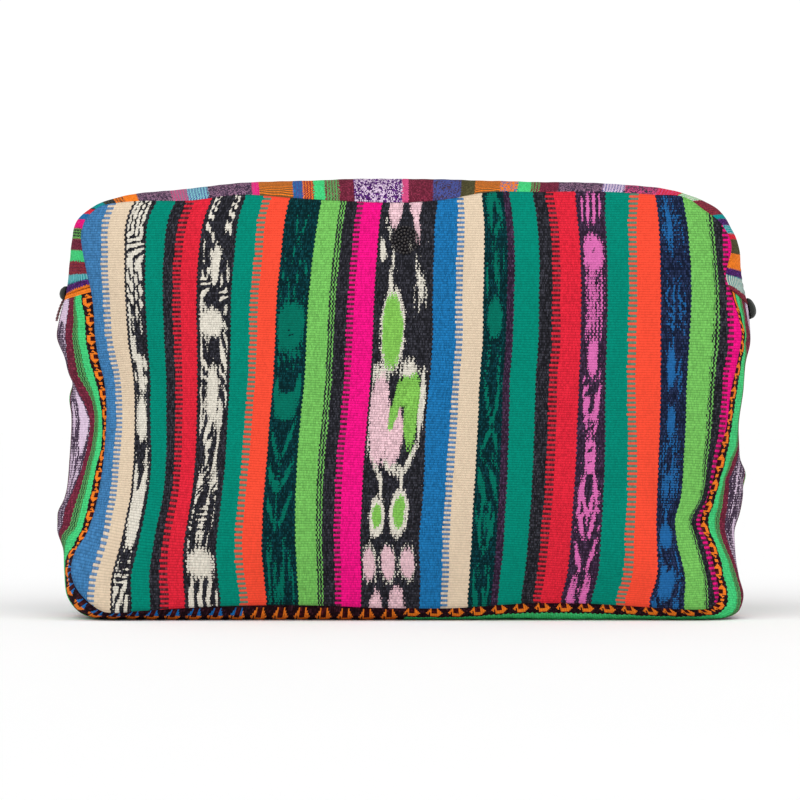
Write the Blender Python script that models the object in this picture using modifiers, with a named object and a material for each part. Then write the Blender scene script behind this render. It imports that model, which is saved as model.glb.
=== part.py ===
"""A soft, boxy wash bag of striped hand-woven cloth, standing on its base.

The shell is two pillowed panels joined by a wall that runs once round the bag: a gusset strip
down one side, along the base and up the other, and two zip bands over the top. Metres, +Z up,
the front panel faces -Y. Origin: the middle of the base, on the floor.
"""
import math

import bmesh
import bpy
from mathutils import Vector

# Driving sizes of the bag
WIDTH = 0.306            # widest cloth, measured over the side walls
HEIGHT = 0.192           # floor to the crest of the zip bands
DEPTH = 0.084            # front seam to back seam
PANEL_SWELL = 0.0125     # how far the middle of each panel stands out from its seam
CLOTH = 0.002            # lined cloth wall
GAP = 0.0003             # clearance between two pieces that meet

# Driving sizes of the zip and its ends
ZIP_OPENING = 0.016      # width of the slot between the two bands
ZIP_DIP = 0.0022         # how far the zip lies below the puffed edges of its bands
TAPE_WIDTH = 0.026
TAPE_THICKNESS = 0.0008
TEETH_WIDTH = 0.0045
TEETH_HEIGHT = 0.0014
SLIDER_LENGTH = 0.011
SLIDER_WIDTH = 0.008
SLIDER_HEIGHT = 0.0017
LUG_WIDTH = 0.0024
SLIDER_FROM_END = 0.060  # along the zip, from the left end to the slider
TAB_WIDTH = 0.024
TAB_HEIGHT_LEFT = 0.0066
TAB_HEIGHT_RIGHT = 0.0088
TAB_REACH_LEFT = 0.0040
TAB_REACH_RIGHT = 0.0052
TAB_EDGE = 0.0010        # thickness of a tab where it is stitched down
PULL_DIAMETER = 0.0013
PULL_LENGTH = 0.0112
PULL_FORWARD = 0.0045    # the pull hangs this far in front of the middle of the wall

# Mesh density
STATION_STEP = 0.0115    # spacing of the stations round the bag
TAB_STEPS = 6

# One row for each section round the bag, clockwise from the left end of the zip as seen from
# the front. seam and crown are the panel's edge and the middle of the wall: x as a share of
# WIDTH from the centre, z as a share of HEIGHT from the floor. flat is the share of the wall's
# half depth that stays level with the crown, dip the share of ZIP_DIP that applies.
#            seam_x   seam_z   crown_x  crown_z  flat  dip
SECTIONS = [
    # left side of the top
    (-0.440, 0.748, -0.485, 0.732, 0.15, 0.3),
    (-0.445, 0.782, -0.481, 0.789, 0.15, 0.8),
    (-0.453, 0.858, -0.474, 0.867, 0.15, 1.0),
    (-0.448, 0.895, -0.467, 0.902, 0.20, 1.0),
    (-0.436, 0.918, -0.451, 0.925, 0.20, 1.0),
    (-0.420, 0.932, -0.431, 0.944, 0.20, 1.0),
    # crest
    (-0.370, 0.941, -0.380, 0.965, 0.25, 1.0),
    (-0.299, 0.942, -0.307, 0.978, 0.25, 1.0),
    (-0.229, 0.955, -0.235, 0.989, 0.25, 1.0),
    (-0.159, 0.948, -0.163, 0.995, 0.25, 1.0),
    (-0.088, 0.941, -0.091, 0.999, 0.25, 1.0),
    (-0.004, 0.937, -0.004, 1.000, 0.25, 1.0),
    (0.059, 0.944, 0.061, 1.000, 0.25, 1.0),
    (0.122, 0.961, 0.126, 0.996, 0.25, 1.0),
    (0.193, 0.961, 0.198, 0.992, 0.25, 1.0),
    (0.277, 0.962, 0.284, 0.989, 0.25, 1.0),
    (0.354, 0.955, 0.364, 0.980, 0.25, 1.0),
    # right side of the top
    (0.395, 0.950, 0.414, 0.960, 0.20, 1.0),
    (0.424, 0.920, 0.452, 0.930, 0.20, 1.0),
    (0.447, 0.891, 0.469, 0.895, 0.15, 1.0),
    (0.462, 0.842, 0.483, 0.844, 0.15, 0.8),
    (0.454, 0.778, 0.488, 0.766, 0.15, 0.4),
    # right side, from the end of the zip down
    (0.459, 0.745, 0.495, 0.708, 0.15, 0.2),
    (0.467, 0.708, 0.498, 0.670, 0.10, 0.0),
    (0.476, 0.645, 0.499, 0.622, 0.10, 0.0),
    (0.471, 0.587, 0.492, 0.576, 0.10, 0.0),
    (0.461, 0.513, 0.489, 0.513, 0.10, 0.0),
    (0.455, 0.437, 0.483, 0.435, 0.10, 0.0),
    (0.444, 0.374, 0.486, 0.371, 0.10, 0.0),
    (0.436, 0.316, 0.493, 0.322, 0.10, 0.0),
    (0.426, 0.262, 0.486, 0.258, 0.10, 0.0),
    (0.418, 0.219, 0.480, 0.205, 0.10, 0.0),
    (0.429, 0.174, 0.477, 0.154, 0.10, 0.0),
    (0.440, 0.101, 0.482, 0.092, 0.20, 0.0),
    (0.444, 0.060, 0.487, 0.049, 0.35, 0.0),
    (0.438, 0.034, 0.476, 0.013, 0.55, 0.0),
    # base
    (0.417, 0.025, 0.446, 0.000, 0.70, 0.0),
    (0.347, 0.030, 0.360, 0.000, 0.72, 0.0),
    (0.263, 0.038, 0.271, 0.000, 0.72, 0.0),
    (0.178, 0.039, 0.183, 0.000, 0.72, 0.0),
    (0.066, 0.028, 0.067, 0.000, 0.72, 0.0),
    (-0.032, 0.029, -0.033, 0.000, 0.72, 0.0),
    (-0.145, 0.035, -0.149, 0.000, 0.72, 0.0),
    (-0.264, 0.032, -0.273, 0.000, 0.72, 0.0),
    (-0.370, 0.022, -0.381, 0.000, 0.72, 0.0),
    (-0.415, 0.018, -0.432, 0.000, 0.70, 0.0),
    # left side, from the floor up
    (-0.438, 0.036, -0.461, 0.013, 0.50, 0.0),
    (-0.460, 0.074, -0.481, 0.049, 0.30, 0.0),
    (-0.467, 0.116, -0.486, 0.104, 0.15, 0.0),
    (-0.460, 0.159, -0.488, 0.154, 0.10, 0.0),
    (-0.447, 0.190, -0.497, 0.196, 0.05, 0.0),
    (-0.435, 0.240, -0.491, 0.240, 0.10, 0.0),
    (-0.427, 0.298, -0.481, 0.295, 0.10, 0.0),
    (-0.421, 0.365, -0.478, 0.362, 0.10, 0.0),
    (-0.417, 0.468, -0.476, 0.467, 0.10, 0.0),
    (-0.420, 0.535, -0.481, 0.532, 0.05, 0.0),
    (-0.427, 0.579, -0.486, 0.587, 0.10, 0.0),
    (-0.433, 0.634, -0.498, 0.637, 0.10, 0.0),
    (-0.435, 0.688, -0.494, 0.680, 0.10, 0.0),
    (-0.437, 0.722, -0.489, 0.708, 0.10, 0.0),
]
LEFT_END = 0             # row at the left end of the zip
RIGHT_END = 22           # row at its right end

# How the rings of a panel step in from the seam (share of the way out from the middle).
PANEL_RINGS = (1.0, 0.93, 0.83, 0.68, 0.48, 0.26)
PANEL_CROWN = 3.0        # a higher power keeps the middle of a panel flatter
PANEL_WELT = 8.0         # a higher power makes the panel rise more steeply from its seam
WALL_CROWN = 2.2         # the same for the wall between its seams

# Soft dents in the panels: place as shares of WIDTH and HEIGHT, reach as a share of HEIGHT,
# depth as a share of PANEL_SWELL.
#         x      z     reach  depth
DENTS = [
    (0.385, 0.230, 0.16, 0.34),
    (0.400, 0.780, 0.17, 0.22),
    (-0.385, 0.480, 0.20, 0.26),
    (-0.300, 0.130, 0.18, 0.16),
    (-0.020, 0.900, 0.22, 0.18),
    (0.120, 0.110, 0.22, 0.14),
]

# Where the wall's rows of points lie, as shares of its half depth.
GUSSET_ROWS = (-1.0, -0.86, -0.70, -0.38, 0.0, 0.38, 0.70, 0.86, 1.0)
BAND_ROWS = (1.0, 0.80, 0.55, 0.35)

COLOURS = {
    "panel_cloth": ((0.75, 0.05, 0.08), 0.85, 0.0),
    "gusset_cloth": ((0.10, 0.55, 0.28), 0.85, 0.0),
    "band_cloth": ((0.35, 0.07, 0.12), 0.85, 0.0),
    "zip_tape": ((0.02, 0.02, 0.022), 0.8, 0.0),
    "zip_coil": ((0.015, 0.015, 0.018), 0.45, 0.0),
    "slider_metal": ((0.06, 0.06, 0.065), 0.35, 1.0),
    "tab_cloth": ((0.012, 0.02, 0.016), 0.8, 0.0),
    "pull_cord": ((0.09, 0.012, 0.02), 0.7, 0.0),
}


def clear_scene():
    """Remove whatever the open file holds."""
    for thing in list(bpy.data.objects):
        bpy.data.objects.remove(thing, do_unlink=True)


def material(name):
    """The named plain material, made once."""
    known = bpy.data.materials.get(name)
    if known:
        return known
    colour, roughness, metallic = COLOURS[name]
    made = bpy.data.materials.new(name)
    made.use_nodes = True
    shader = made.node_tree.nodes["Principled BSDF"]
    shader.inputs["Base Color"].default_value = (*colour, 1.0)
    shader.inputs["Roughness"].default_value = roughness
    shader.inputs["Metallic"].default_value = metallic
    return made


class Outline:
    """The closed run of sections, read as smooth curves through the table's rows."""

    def __init__(self, rows):
        self.rows = [self.real(row) for row in rows]
        self.starts = [0.0]
        count = len(self.rows)
        for index in range(count):
            here = self.rows[index]
            ahead = self.rows[(index + 1) % count]
            self.starts.append(self.starts[-1] + math.dist(here[:4], ahead[:4]) / math.sqrt(2))

    @staticmethod
    def real(row):
        seam_x, seam_z, crown_x, crown_z, flat, dip = row
        return (seam_x * WIDTH, seam_z * HEIGHT, crown_x * WIDTH, crown_z * HEIGHT, flat, dip)

    def slope(self, index):
        """How each column changes for each metre travelled, at a row."""
        count = len(self.rows)
        before, after = self.rows[index - 1], self.rows[(index + 1) % count]
        back = self.starts[index] - self.starts[index - 1] if index else self.last_span()
        forward = self.starts[index + 1] - self.starts[index]
        return [(b - a) / (back + forward) for a, b in zip(before, after)]

    def last_span(self):
        return self.starts[-1] - self.starts[-2]

    def at(self, place):
        """The six columns at a place, where 3.5 is half way from row 3 to row 4."""
        count = len(self.rows)
        index = int(math.floor(place)) % count
        share = place - math.floor(place)
        ahead = (index + 1) % count
        span = self.starts[index + 1] - self.starts[index]
        in_slope, out_slope = self.slope(index), self.slope(ahead)
        square, cube = share ** 2, share ** 3
        return [
            a * (2 * cube - 3 * square + 1) + ma * span * (cube - 2 * square + share)
            + b * (3 * square - 2 * cube) + mb * span * (cube - square)
            for a, b, ma, mb in zip(self.rows[index], self.rows[ahead], in_slope, out_slope)
        ]

    def outward(self, place):
        """Unit vector across the wall, away from the inside of the bag, as (x, z)."""
        before, after = self.at(place - 0.05), self.at(place + 0.05)
        run_x = after[2] - before[2] + after[0] - before[0]
        run_z = after[3] - before[3] + after[1] - before[1]
        length = math.hypot(run_x, run_z)
        return -run_z / length, run_x / length

    def places(self, first, last, step=STATION_STEP):
        """Stations from one place to another, each row of the table among them."""
        stops = [first]
        row = math.floor(first) + 1
        while row < last - 1e-6:
            stops.append(float(row))
            row += 1
        stops.append(last)
        found = []
        for low, high in zip(stops, stops[1:]):
            length = self.travelled(high) - self.travelled(low)
            parts = max(1, round(length / step))
            found += [low + (high - low) * part / parts for part in range(parts)]
        return found + [last]

    def travelled(self, place):
        """Metres round the bag from the first row."""
        count = len(self.rows)
        laps, rest = divmod(place, count)
        index = int(rest)
        span = self.starts[index + 1] - self.starts[index]
        return laps * self.starts[-1] + self.starts[index] + span * (rest - index)

    def place_after(self, place, metres):
        """The place that lies this many metres further round."""
        target = self.travelled(place) + metres
        row = math.floor(place)
        while self.travelled(row + 1) < target:
            row += 1
        while self.travelled(row) > target:
            row -= 1
        low, high = self.travelled(row), self.travelled(row + 1)
        return row + (target - low) / (high - low)


OUTLINE = Outline(SECTIONS)
WALL_HALF = DEPTH / 2 - CLOTH - GAP      # the wall's edges lie just inside the panels
LEFT_PLACE = float(LEFT_END)
RIGHT_PLACE = float(RIGHT_END)
LAP = float(len(SECTIONS))


def wall_point(place, across, lift=0.0):
    """A point on the wall's outer face; across runs from -1 at the front to 1 at the back."""
    seam_x, seam_z, crown_x, crown_z, flat, dip = OUTLINE.at(place)
    reach = max(0.0, abs(across) - flat) / (1.0 - flat)
    fullness = 1.0 - reach ** WALL_CROWN
    out_x, out_z = OUTLINE.outward(place)
    near_zip = max(0.0, 1.0 - (abs(across) * WALL_HALF / TAPE_WIDTH * 2) ** 2 / 2)
    raised = lift - ZIP_DIP * dip * near_zip
    return Vector((
        seam_x + (crown_x - seam_x) * fullness + out_x * raised,
        across * WALL_HALF,
        max(0.0, seam_z + (crown_z - seam_z) * fullness) + out_z * raised,
    ))


def new_object(name, mesh_or_curve, finish):
    """Put a new object of the bag into its collection."""
    made = bpy.data.objects.new(name, mesh_or_curve)
    made.data.materials.append(material(finish))
    BAG.objects.link(made)
    return made


def object_from_bmesh(name, shape, finish):
    mesh = bpy.data.meshes.new(name)
    shape.to_mesh(mesh)
    shape.free()
    mesh.shade_smooth()
    mesh.set_sharp_from_angle(angle=math.radians(50))
    return new_object(name, mesh, finish)


def thicken(thing, thickness):
    """Give an open sheet its wall, laid inwards from the face it shows."""
    wall = thing.modifiers.new("wall", "SOLIDIFY")
    wall.thickness = thickness
    wall.offset = -1.0
    wall.use_rim = True


def strip(name, first, last, rows, finish, lift=0.0, thickness=CLOTH):
    """A band of cloth along the wall, between two places and across the given rows."""
    shape = bmesh.new()
    stations = OUTLINE.places(first, last)
    grid = [[shape.verts.new(wall_point(place, row, lift)) for row in rows] for place in stations]
    for here, ahead in zip(grid, grid[1:]):
        for side in range(len(rows) - 1):
            shape.faces.new((here[side], ahead[side], ahead[side + 1], here[side + 1]))
    made = object_from_bmesh(name, shape, finish)
    thicken(made, thickness)
    return made


def dent_depth(x, z):
    """How far a panel's face is pressed in at a point, in metres."""
    total = 0.0
    for dent_x, dent_z, reach, depth in DENTS:
        away = math.hypot(x - dent_x * WIDTH, z - dent_z * HEIGHT) / (reach * HEIGHT)
        total += depth * PANEL_SWELL * math.exp(-2.0 * away ** 2)
    return total


def puff(x, z, share):
    """How full a panel is at a point, from 0 at its seam to 1 in the middle."""
    over = min(1.0, abs(x) / (WIDTH / 2)) ** PANEL_CROWN
    up = min(1.0, abs(z - HEIGHT / 2) / (HEIGHT / 2)) ** PANEL_CROWN
    return (1.0 - over) * (1.0 - up) * (1.0 - share ** PANEL_WELT)


def panel(name, side):
    """A pillowed panel; side is -1 for the front and 1 for the back."""
    shape = bmesh.new()
    stations = OUTLINE.places(0.0, LAP)[:-1]
    middle_z = HEIGHT / 2
    rings = []
    for share in PANEL_RINGS:
        ring = []
        for place in stations:
            seam_x, seam_z = OUTLINE.at(place)[:2]
            x = seam_x * share
            z = middle_z + (seam_z - middle_z) * share
            full = puff(x, z, share)
            out = DEPTH / 2 + PANEL_SWELL * full - dent_depth(x, z) * full
            ring.append(shape.verts.new((x, side * out, z)))
        rings.append(ring)
    middle = shape.verts.new((0.0, side * (DEPTH / 2 + PANEL_SWELL), middle_z))
    count = len(stations)
    for index in range(count):
        ahead = (index + 1) % count
        for outer, inner in zip(rings, rings[1:]):
            corners = (outer[index], outer[ahead], inner[ahead], inner[index])
            shape.faces.new(corners if side > 0 else corners[::-1])
        corners = (rings[-1][index], rings[-1][ahead], middle)
        shape.faces.new(corners if side > 0 else corners[::-1])
    made = object_from_bmesh(name, shape, "panel_cloth")
    thicken(made, CLOTH)
    return made


def zip_strip(name, half_width, lift, thickness, finish):
    """A strip that runs the length of the zip, centred on the wall."""
    half = half_width / WALL_HALF
    first = OUTLINE.place_after(LEFT_PLACE, GAP)
    last = OUTLINE.place_after(RIGHT_PLACE, -GAP)
    return strip(name, first, last, (-half, 0.0, half), finish, lift, thickness)


def end_tab(name, place, height, reach):
    """A folded tab of cloth, stitched down across one end of the zip, with a rounded back."""
    shape = bmesh.new()
    half = TAB_WIDTH / 2 / WALL_HALF
    rows = [half * step / 3 for step in range(-3, 4)]
    stations = [OUTLINE.place_after(place, height * (step / TAB_STEPS - 0.5))
                for step in range(TAB_STEPS + 1)]
    inner, outer = [], []
    for step, station in enumerate(stations):
        round_back = math.sqrt(1.0 - (2.0 * step / TAB_STEPS - 1.0) ** 2)
        low = 2 * GAP
        high = low + TAB_EDGE + (reach - low - TAB_EDGE) * round_back
        inner.append([shape.verts.new(wall_point(station, row, low)) for row in rows])
        outer.append([shape.verts.new(wall_point(station, row, high)) for row in rows])
    last_row = len(rows) - 1
    for step in range(TAB_STEPS):
        for side in range(last_row):
            ahead = step + 1
            shape.faces.new((outer[step][side], outer[ahead][side],
                             outer[ahead][side + 1], outer[step][side + 1]))
            shape.faces.new((inner[step][side], inner[step][side + 1],
                             inner[ahead][side + 1], inner[ahead][side]))
        for side in (0, last_row):
            shape.faces.new((outer[step][side], inner[step][side],
                             inner[step + 1][side], outer[step + 1][side]))
    for step in (0, TAB_STEPS):
        for side in range(last_row):
            shape.faces.new((outer[step][side], outer[step][side + 1],
                             inner[step][side + 1], inner[step][side]))
    bmesh.ops.recalc_face_normals(shape, faces=shape.faces)
    return object_from_bmesh(name, shape, "tab_cloth")


def slider():
    """The zip's slider: a waisted plate with a raised lug, sitting over the teeth."""
    place = OUTLINE.place_after(LEFT_PLACE, SLIDER_FROM_END)
    out_x, out_z = OUTLINE.outward(place)
    floor_lift = -CLOTH - GAP + TEETH_HEIGHT + 2 * GAP
    base = wall_point(place, 0.0, floor_lift)
    outwards = Vector((out_x, 0.0, out_z))
    along = Vector((out_z, 0.0, -out_x))
    across = Vector((0.0, 1.0, 0.0))
    half_length = SLIDER_LENGTH / 2
    half_width = SLIDER_WIDTH / 2
    outline = [(-half_length, -half_width * 0.6), (0.0, -half_width), (half_length, -half_width),
               (half_length, half_width), (0.0, half_width), (-half_length, half_width * 0.6)]
    shape = bmesh.new()
    plate = [shape.verts.new(base + along * run + across * side) for run, side in outline]
    shape.faces.new(plate)
    top = bmesh.ops.extrude_face_region(shape, geom=list(shape.faces))
    risen = [part for part in top["geom"] if isinstance(part, bmesh.types.BMVert)]
    bmesh.ops.translate(shape, verts=risen, vec=outwards * SLIDER_HEIGHT)
    cap = next(part for part in top["geom"] if isinstance(part, bmesh.types.BMFace))
    bmesh.ops.inset_region(shape, faces=[cap], thickness=(SLIDER_WIDTH - LUG_WIDTH) / 3)
    lug = bmesh.ops.extrude_face_region(shape, geom=[cap])
    shape.faces.remove(cap)
    risen = [part for part in lug["geom"] if isinstance(part, bmesh.types.BMVert)]
    bmesh.ops.translate(shape, verts=risen, vec=outwards * SLIDER_HEIGHT * 0.6)
    bmesh.ops.recalc_face_normals(shape, faces=shape.faces)
    return object_from_bmesh("zip_slider", shape, "slider_metal")


def pull():
    """The thin cord end that hangs from the left tab, close against the gusset."""
    across = -PULL_FORWARD / WALL_HALF
    clear = PULL_DIAMETER / 2 + 2 * GAP
    start = OUTLINE.place_after(LEFT_PLACE, -TAB_HEIGHT_LEFT / 2 - PULL_DIAMETER / 2 - GAP)
    curve = bpy.data.curves.new("zip_pull", "CURVE")
    curve.dimensions = "3D"
    curve.bevel_depth = PULL_DIAMETER / 2
    curve.bevel_resolution = 2
    curve.use_fill_caps = True
    steps = 6
    line = curve.splines.new("POLY")
    line.points.add(steps)
    for step in range(steps + 1):
        place = OUTLINE.place_after(start, -PULL_LENGTH * step / steps)
        line.points[step].co = (*wall_point(place, across, clear), 1.0)
    return new_object("zip_pull", curve, "pull_cord")


def build():
    left_edge = OUTLINE.place_after(LEFT_PLACE, GAP)
    right_edge = OUTLINE.place_after(RIGHT_PLACE, -GAP)
    gusset_first = OUTLINE.place_after(RIGHT_PLACE, GAP)
    gusset_last = OUTLINE.place_after(LEFT_PLACE + LAP, -GAP)
    slot = ZIP_OPENING / 2 / WALL_HALF
    panel("front_panel", -1)
    panel("back_panel", 1)
    strip("side_gusset", gusset_first, gusset_last, GUSSET_ROWS, "gusset_cloth")
    back_rows = (slot,) + BAND_ROWS[::-1]
    front_rows = tuple(-row for row in back_rows[::-1])
    strip("zip_band_front", left_edge, right_edge, front_rows, "band_cloth")
    strip("zip_band_back", left_edge, right_edge, back_rows, "band_cloth")
    tape_lift = -CLOTH - GAP
    teeth_lift = tape_lift + GAP + TEETH_HEIGHT
    zip_strip("zip_tape", TAPE_WIDTH / 2, tape_lift, TAPE_THICKNESS, "zip_tape")
    zip_strip("zip_teeth", TEETH_WIDTH / 2, teeth_lift, TEETH_HEIGHT, "zip_coil")
    slider()
    end_tab("end_tab_left", LEFT_PLACE, TAB_HEIGHT_LEFT, TAB_REACH_LEFT)
    end_tab("end_tab_right", RIGHT_PLACE, TAB_HEIGHT_RIGHT, TAB_REACH_RIGHT)
    pull()


clear_scene()
BAG = bpy.data.collections.new("wash_bag")
bpy.context.scene.collection.children.link(BAG)
build()
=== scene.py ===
"""Dresses the wet bag: hand-woven striped cloth over every soft piece, a zip, tabs and a rosette.

Metres, +Z up, the front panel faces -Y. The cloth pieces follow the same run of sections as the
solid walls do, and their stripes are laid out from a chart of the warp, drawn for this bag.
"""
import math

import bmesh
import bpy
import numpy as np
from bpy.props import FloatProperty, FloatVectorProperty, IntProperty, PointerProperty
from bpy.types import Operator, Panel, PropertyGroup
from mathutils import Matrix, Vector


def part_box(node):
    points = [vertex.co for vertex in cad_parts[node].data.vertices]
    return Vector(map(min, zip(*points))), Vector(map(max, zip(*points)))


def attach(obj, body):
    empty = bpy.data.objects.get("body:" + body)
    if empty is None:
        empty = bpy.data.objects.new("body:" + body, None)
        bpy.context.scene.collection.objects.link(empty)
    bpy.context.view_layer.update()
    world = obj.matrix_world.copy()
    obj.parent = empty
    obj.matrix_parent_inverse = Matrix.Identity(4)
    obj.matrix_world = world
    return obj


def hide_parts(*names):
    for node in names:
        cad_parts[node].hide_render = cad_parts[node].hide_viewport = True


bl_info = {
    "name": "Wet Bag",
    "version": (1, 0, 0),
    "blender": (4, 5, 0),
    "location": "View3D > Sidebar > Wet Bag",
    "description": "Striped hand-woven cloth, zip, tabs and beads for a soft wash bag",
    "category": "Object",
}

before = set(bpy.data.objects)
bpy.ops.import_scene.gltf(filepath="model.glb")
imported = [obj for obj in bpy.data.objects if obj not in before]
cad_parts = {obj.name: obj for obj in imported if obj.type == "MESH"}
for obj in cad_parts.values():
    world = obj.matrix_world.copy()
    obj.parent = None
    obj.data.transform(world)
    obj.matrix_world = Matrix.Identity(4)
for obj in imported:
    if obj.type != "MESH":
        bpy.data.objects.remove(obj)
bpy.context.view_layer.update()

# The outline of the bag, one row for each section round it, clockwise from the left end of the
# zip as seen from the front. seam is the edge of the panels, crown the middle of the wall:
# x as a share of the width from the centre, z as a share of the height from the floor. flat is
# the share of the wall's half depth that stays level, dip the share of the zip's dip.
#            seam_x   seam_z   crown_x  crown_z  flat  dip
SECTIONS = np.array([
    # left side of the top
    (-0.440, 0.748, -0.485, 0.732, 0.15, 0.3),
    (-0.445, 0.782, -0.481, 0.789, 0.15, 0.8),
    (-0.453, 0.858, -0.474, 0.867, 0.15, 1.0),
    (-0.448, 0.895, -0.467, 0.902, 0.20, 1.0),
    (-0.436, 0.918, -0.451, 0.925, 0.20, 1.0),
    (-0.420, 0.932, -0.431, 0.944, 0.20, 1.0),
    # crest
    (-0.370, 0.941, -0.380, 0.965, 0.25, 1.0),
    (-0.299, 0.942, -0.307, 0.978, 0.25, 1.0),
    (-0.229, 0.955, -0.235, 0.989, 0.25, 1.0),
    (-0.159, 0.948, -0.163, 0.995, 0.25, 1.0),
    (-0.088, 0.941, -0.091, 0.999, 0.25, 1.0),
    (-0.004, 0.937, -0.004, 1.000, 0.25, 1.0),
    (0.059, 0.944, 0.061, 1.000, 0.25, 1.0),
    (0.122, 0.961, 0.126, 0.996, 0.25, 1.0),
    (0.193, 0.961, 0.198, 0.992, 0.25, 1.0),
    (0.277, 0.962, 0.284, 0.989, 0.25, 1.0),
    (0.354, 0.955, 0.364, 0.980, 0.25, 1.0),
    # right side of the top
    (0.395, 0.950, 0.414, 0.960, 0.20, 1.0),
    (0.424, 0.920, 0.452, 0.930, 0.20, 1.0),
    (0.447, 0.891, 0.469, 0.895, 0.15, 1.0),
    (0.462, 0.842, 0.483, 0.844, 0.15, 0.8),
    (0.454, 0.778, 0.488, 0.766, 0.15, 0.4),
    # right side, from the end of the zip down
    (0.459, 0.745, 0.495, 0.708, 0.15, 0.2),
    (0.467, 0.708, 0.498, 0.670, 0.10, 0.0),
    (0.476, 0.645, 0.499, 0.622, 0.10, 0.0),
    (0.471, 0.587, 0.492, 0.576, 0.10, 0.0),
    (0.461, 0.513, 0.489, 0.513, 0.10, 0.0),
    (0.455, 0.437, 0.483, 0.435, 0.10, 0.0),
    (0.444, 0.374, 0.486, 0.371, 0.10, 0.0),
    (0.436, 0.316, 0.493, 0.322, 0.10, 0.0),
    (0.426, 0.262, 0.486, 0.258, 0.10, 0.0),
    (0.418, 0.219, 0.480, 0.205, 0.10, 0.0),
    (0.429, 0.174, 0.477, 0.154, 0.10, 0.0),
    (0.440, 0.101, 0.482, 0.092, 0.20, 0.0),
    (0.444, 0.060, 0.487, 0.049, 0.35, 0.0),
    (0.438, 0.034, 0.476, 0.013, 0.55, 0.0),
    # base
    (0.417, 0.025, 0.446, 0.000, 0.70, 0.0),
    (0.347, 0.030, 0.360, 0.000, 0.72, 0.0),
    (0.263, 0.038, 0.271, 0.000, 0.72, 0.0),
    (0.178, 0.039, 0.183, 0.000, 0.72, 0.0),
    (0.066, 0.028, 0.067, 0.000, 0.72, 0.0),
    (-0.032, 0.029, -0.033, 0.000, 0.72, 0.0),
    (-0.145, 0.035, -0.149, 0.000, 0.72, 0.0),
    (-0.264, 0.032, -0.273, 0.000, 0.72, 0.0),
    (-0.370, 0.022, -0.381, 0.000, 0.72, 0.0),
    (-0.415, 0.018, -0.432, 0.000, 0.70, 0.0),
    # left side, from the floor up
    (-0.438, 0.036, -0.461, 0.013, 0.50, 0.0),
    (-0.460, 0.074, -0.481, 0.049, 0.30, 0.0),
    (-0.467, 0.116, -0.486, 0.104, 0.15, 0.0),
    (-0.460, 0.159, -0.488, 0.154, 0.10, 0.0),
    (-0.447, 0.190, -0.497, 0.196, 0.05, 0.0),
    (-0.435, 0.240, -0.491, 0.240, 0.10, 0.0),
    (-0.427, 0.298, -0.481, 0.295, 0.10, 0.0),
    (-0.421, 0.365, -0.478, 0.362, 0.10, 0.0),
    (-0.417, 0.468, -0.476, 0.467, 0.10, 0.0),
    (-0.420, 0.535, -0.481, 0.532, 0.05, 0.0),
    (-0.427, 0.579, -0.486, 0.587, 0.10, 0.0),
    (-0.433, 0.634, -0.498, 0.637, 0.10, 0.0),
    (-0.435, 0.688, -0.494, 0.680, 0.10, 0.0),
    (-0.437, 0.722, -0.489, 0.708, 0.10, 0.0),
])
LAP = len(SECTIONS)
LEFT_END, RIGHT_END = 0, 22
CORNERS = (46 - LAP, 4, 18, 35, 46)     # bottom left, top left, top right, bottom right, bottom left

# Sizes taken from the solids
PANEL_LOW, PANEL_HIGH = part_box("front_panel")
SEAM_SPAN = np.ptp(SECTIONS[:, :2], axis=0)
WIDTH = (PANEL_HIGH.x - PANEL_LOW.x) / SEAM_SPAN[0]
HEIGHT = (PANEL_HIGH.z - PANEL_LOW.z) / SEAM_SPAN[1]
WALL_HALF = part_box("side_gusset")[1].y
CLOTH = 0.002
GAP = 0.0003
SEAM_Y = WALL_HALF + CLOTH + GAP
PANEL_SWELL = 0.0125
ZIP_DIP = 0.0022
TAPE_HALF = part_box("zip_tape")[1].y
SLOT_HALF = 0.008
PANEL_CROWN = 3.0
PANEL_WELT = 8.0
WALL_CROWN = 2.2
SHEET = 0.0009                           # thickness of the woven sheets that are seen
ROLLED = 0.0011                          # how far the cloth rolls in at a seam, and how widely

# Points of the woven sheets, along and across
PANEL_GRID = (216, 140)
GUSSET_GRID = (440, 81)
BAND_GRID = (300, 33)

# The camera's place, which the warp chart is drawn for
CAMERA_DISTANCE = 1.6
CAMERA_X = -0.0013
CAMERA_HEIGHT = 0.095
PICTURE = 800                            # side of the square picture, in its own pixels
PICTURE_MIDDLE = PICTURE / 2
PIXEL = 0.00043                          # metres that one pixel covers at the front seam
FOCAL_PIXELS = (CAMERA_DISTANCE - SEAM_Y) / PIXEL
SENSOR = 36.0

# Light
SOFT_LIGHT = 1.30                        # each of the two soft lights
WALL_LIGHT = 1.04                        # the surround near the horizon
SKY_LIGHT = 0.44                         # and overhead

# Threads
RIB = 0.00104                            # pitch of the weft ribs
THREAD = 0.00045                         # pitch of the warp threads
COUNT_FROM = 4000.0                      # added to thread and rib counts, so that none is below 0
STRAND = 0.00082                         # pitch of the tied strands that take the dye together
DYE_DEPTH = 0.86                         # share of light that a yarn gives back in even light

# Soft dents pressed into the panels: place as shares of width and height, reach as a share of
# the height, depth as a share of the panel's swell.
#         x      z     reach  depth
DENTS = [
    (0.385, 0.230, 0.16, 0.34),
    (0.400, 0.780, 0.17, 0.22),
    (-0.385, 0.480, 0.20, 0.26),
    (-0.300, 0.130, 0.18, 0.16),
    (-0.020, 0.900, 0.22, 0.18),
    (0.120, 0.110, 0.22, 0.14),
]

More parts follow.
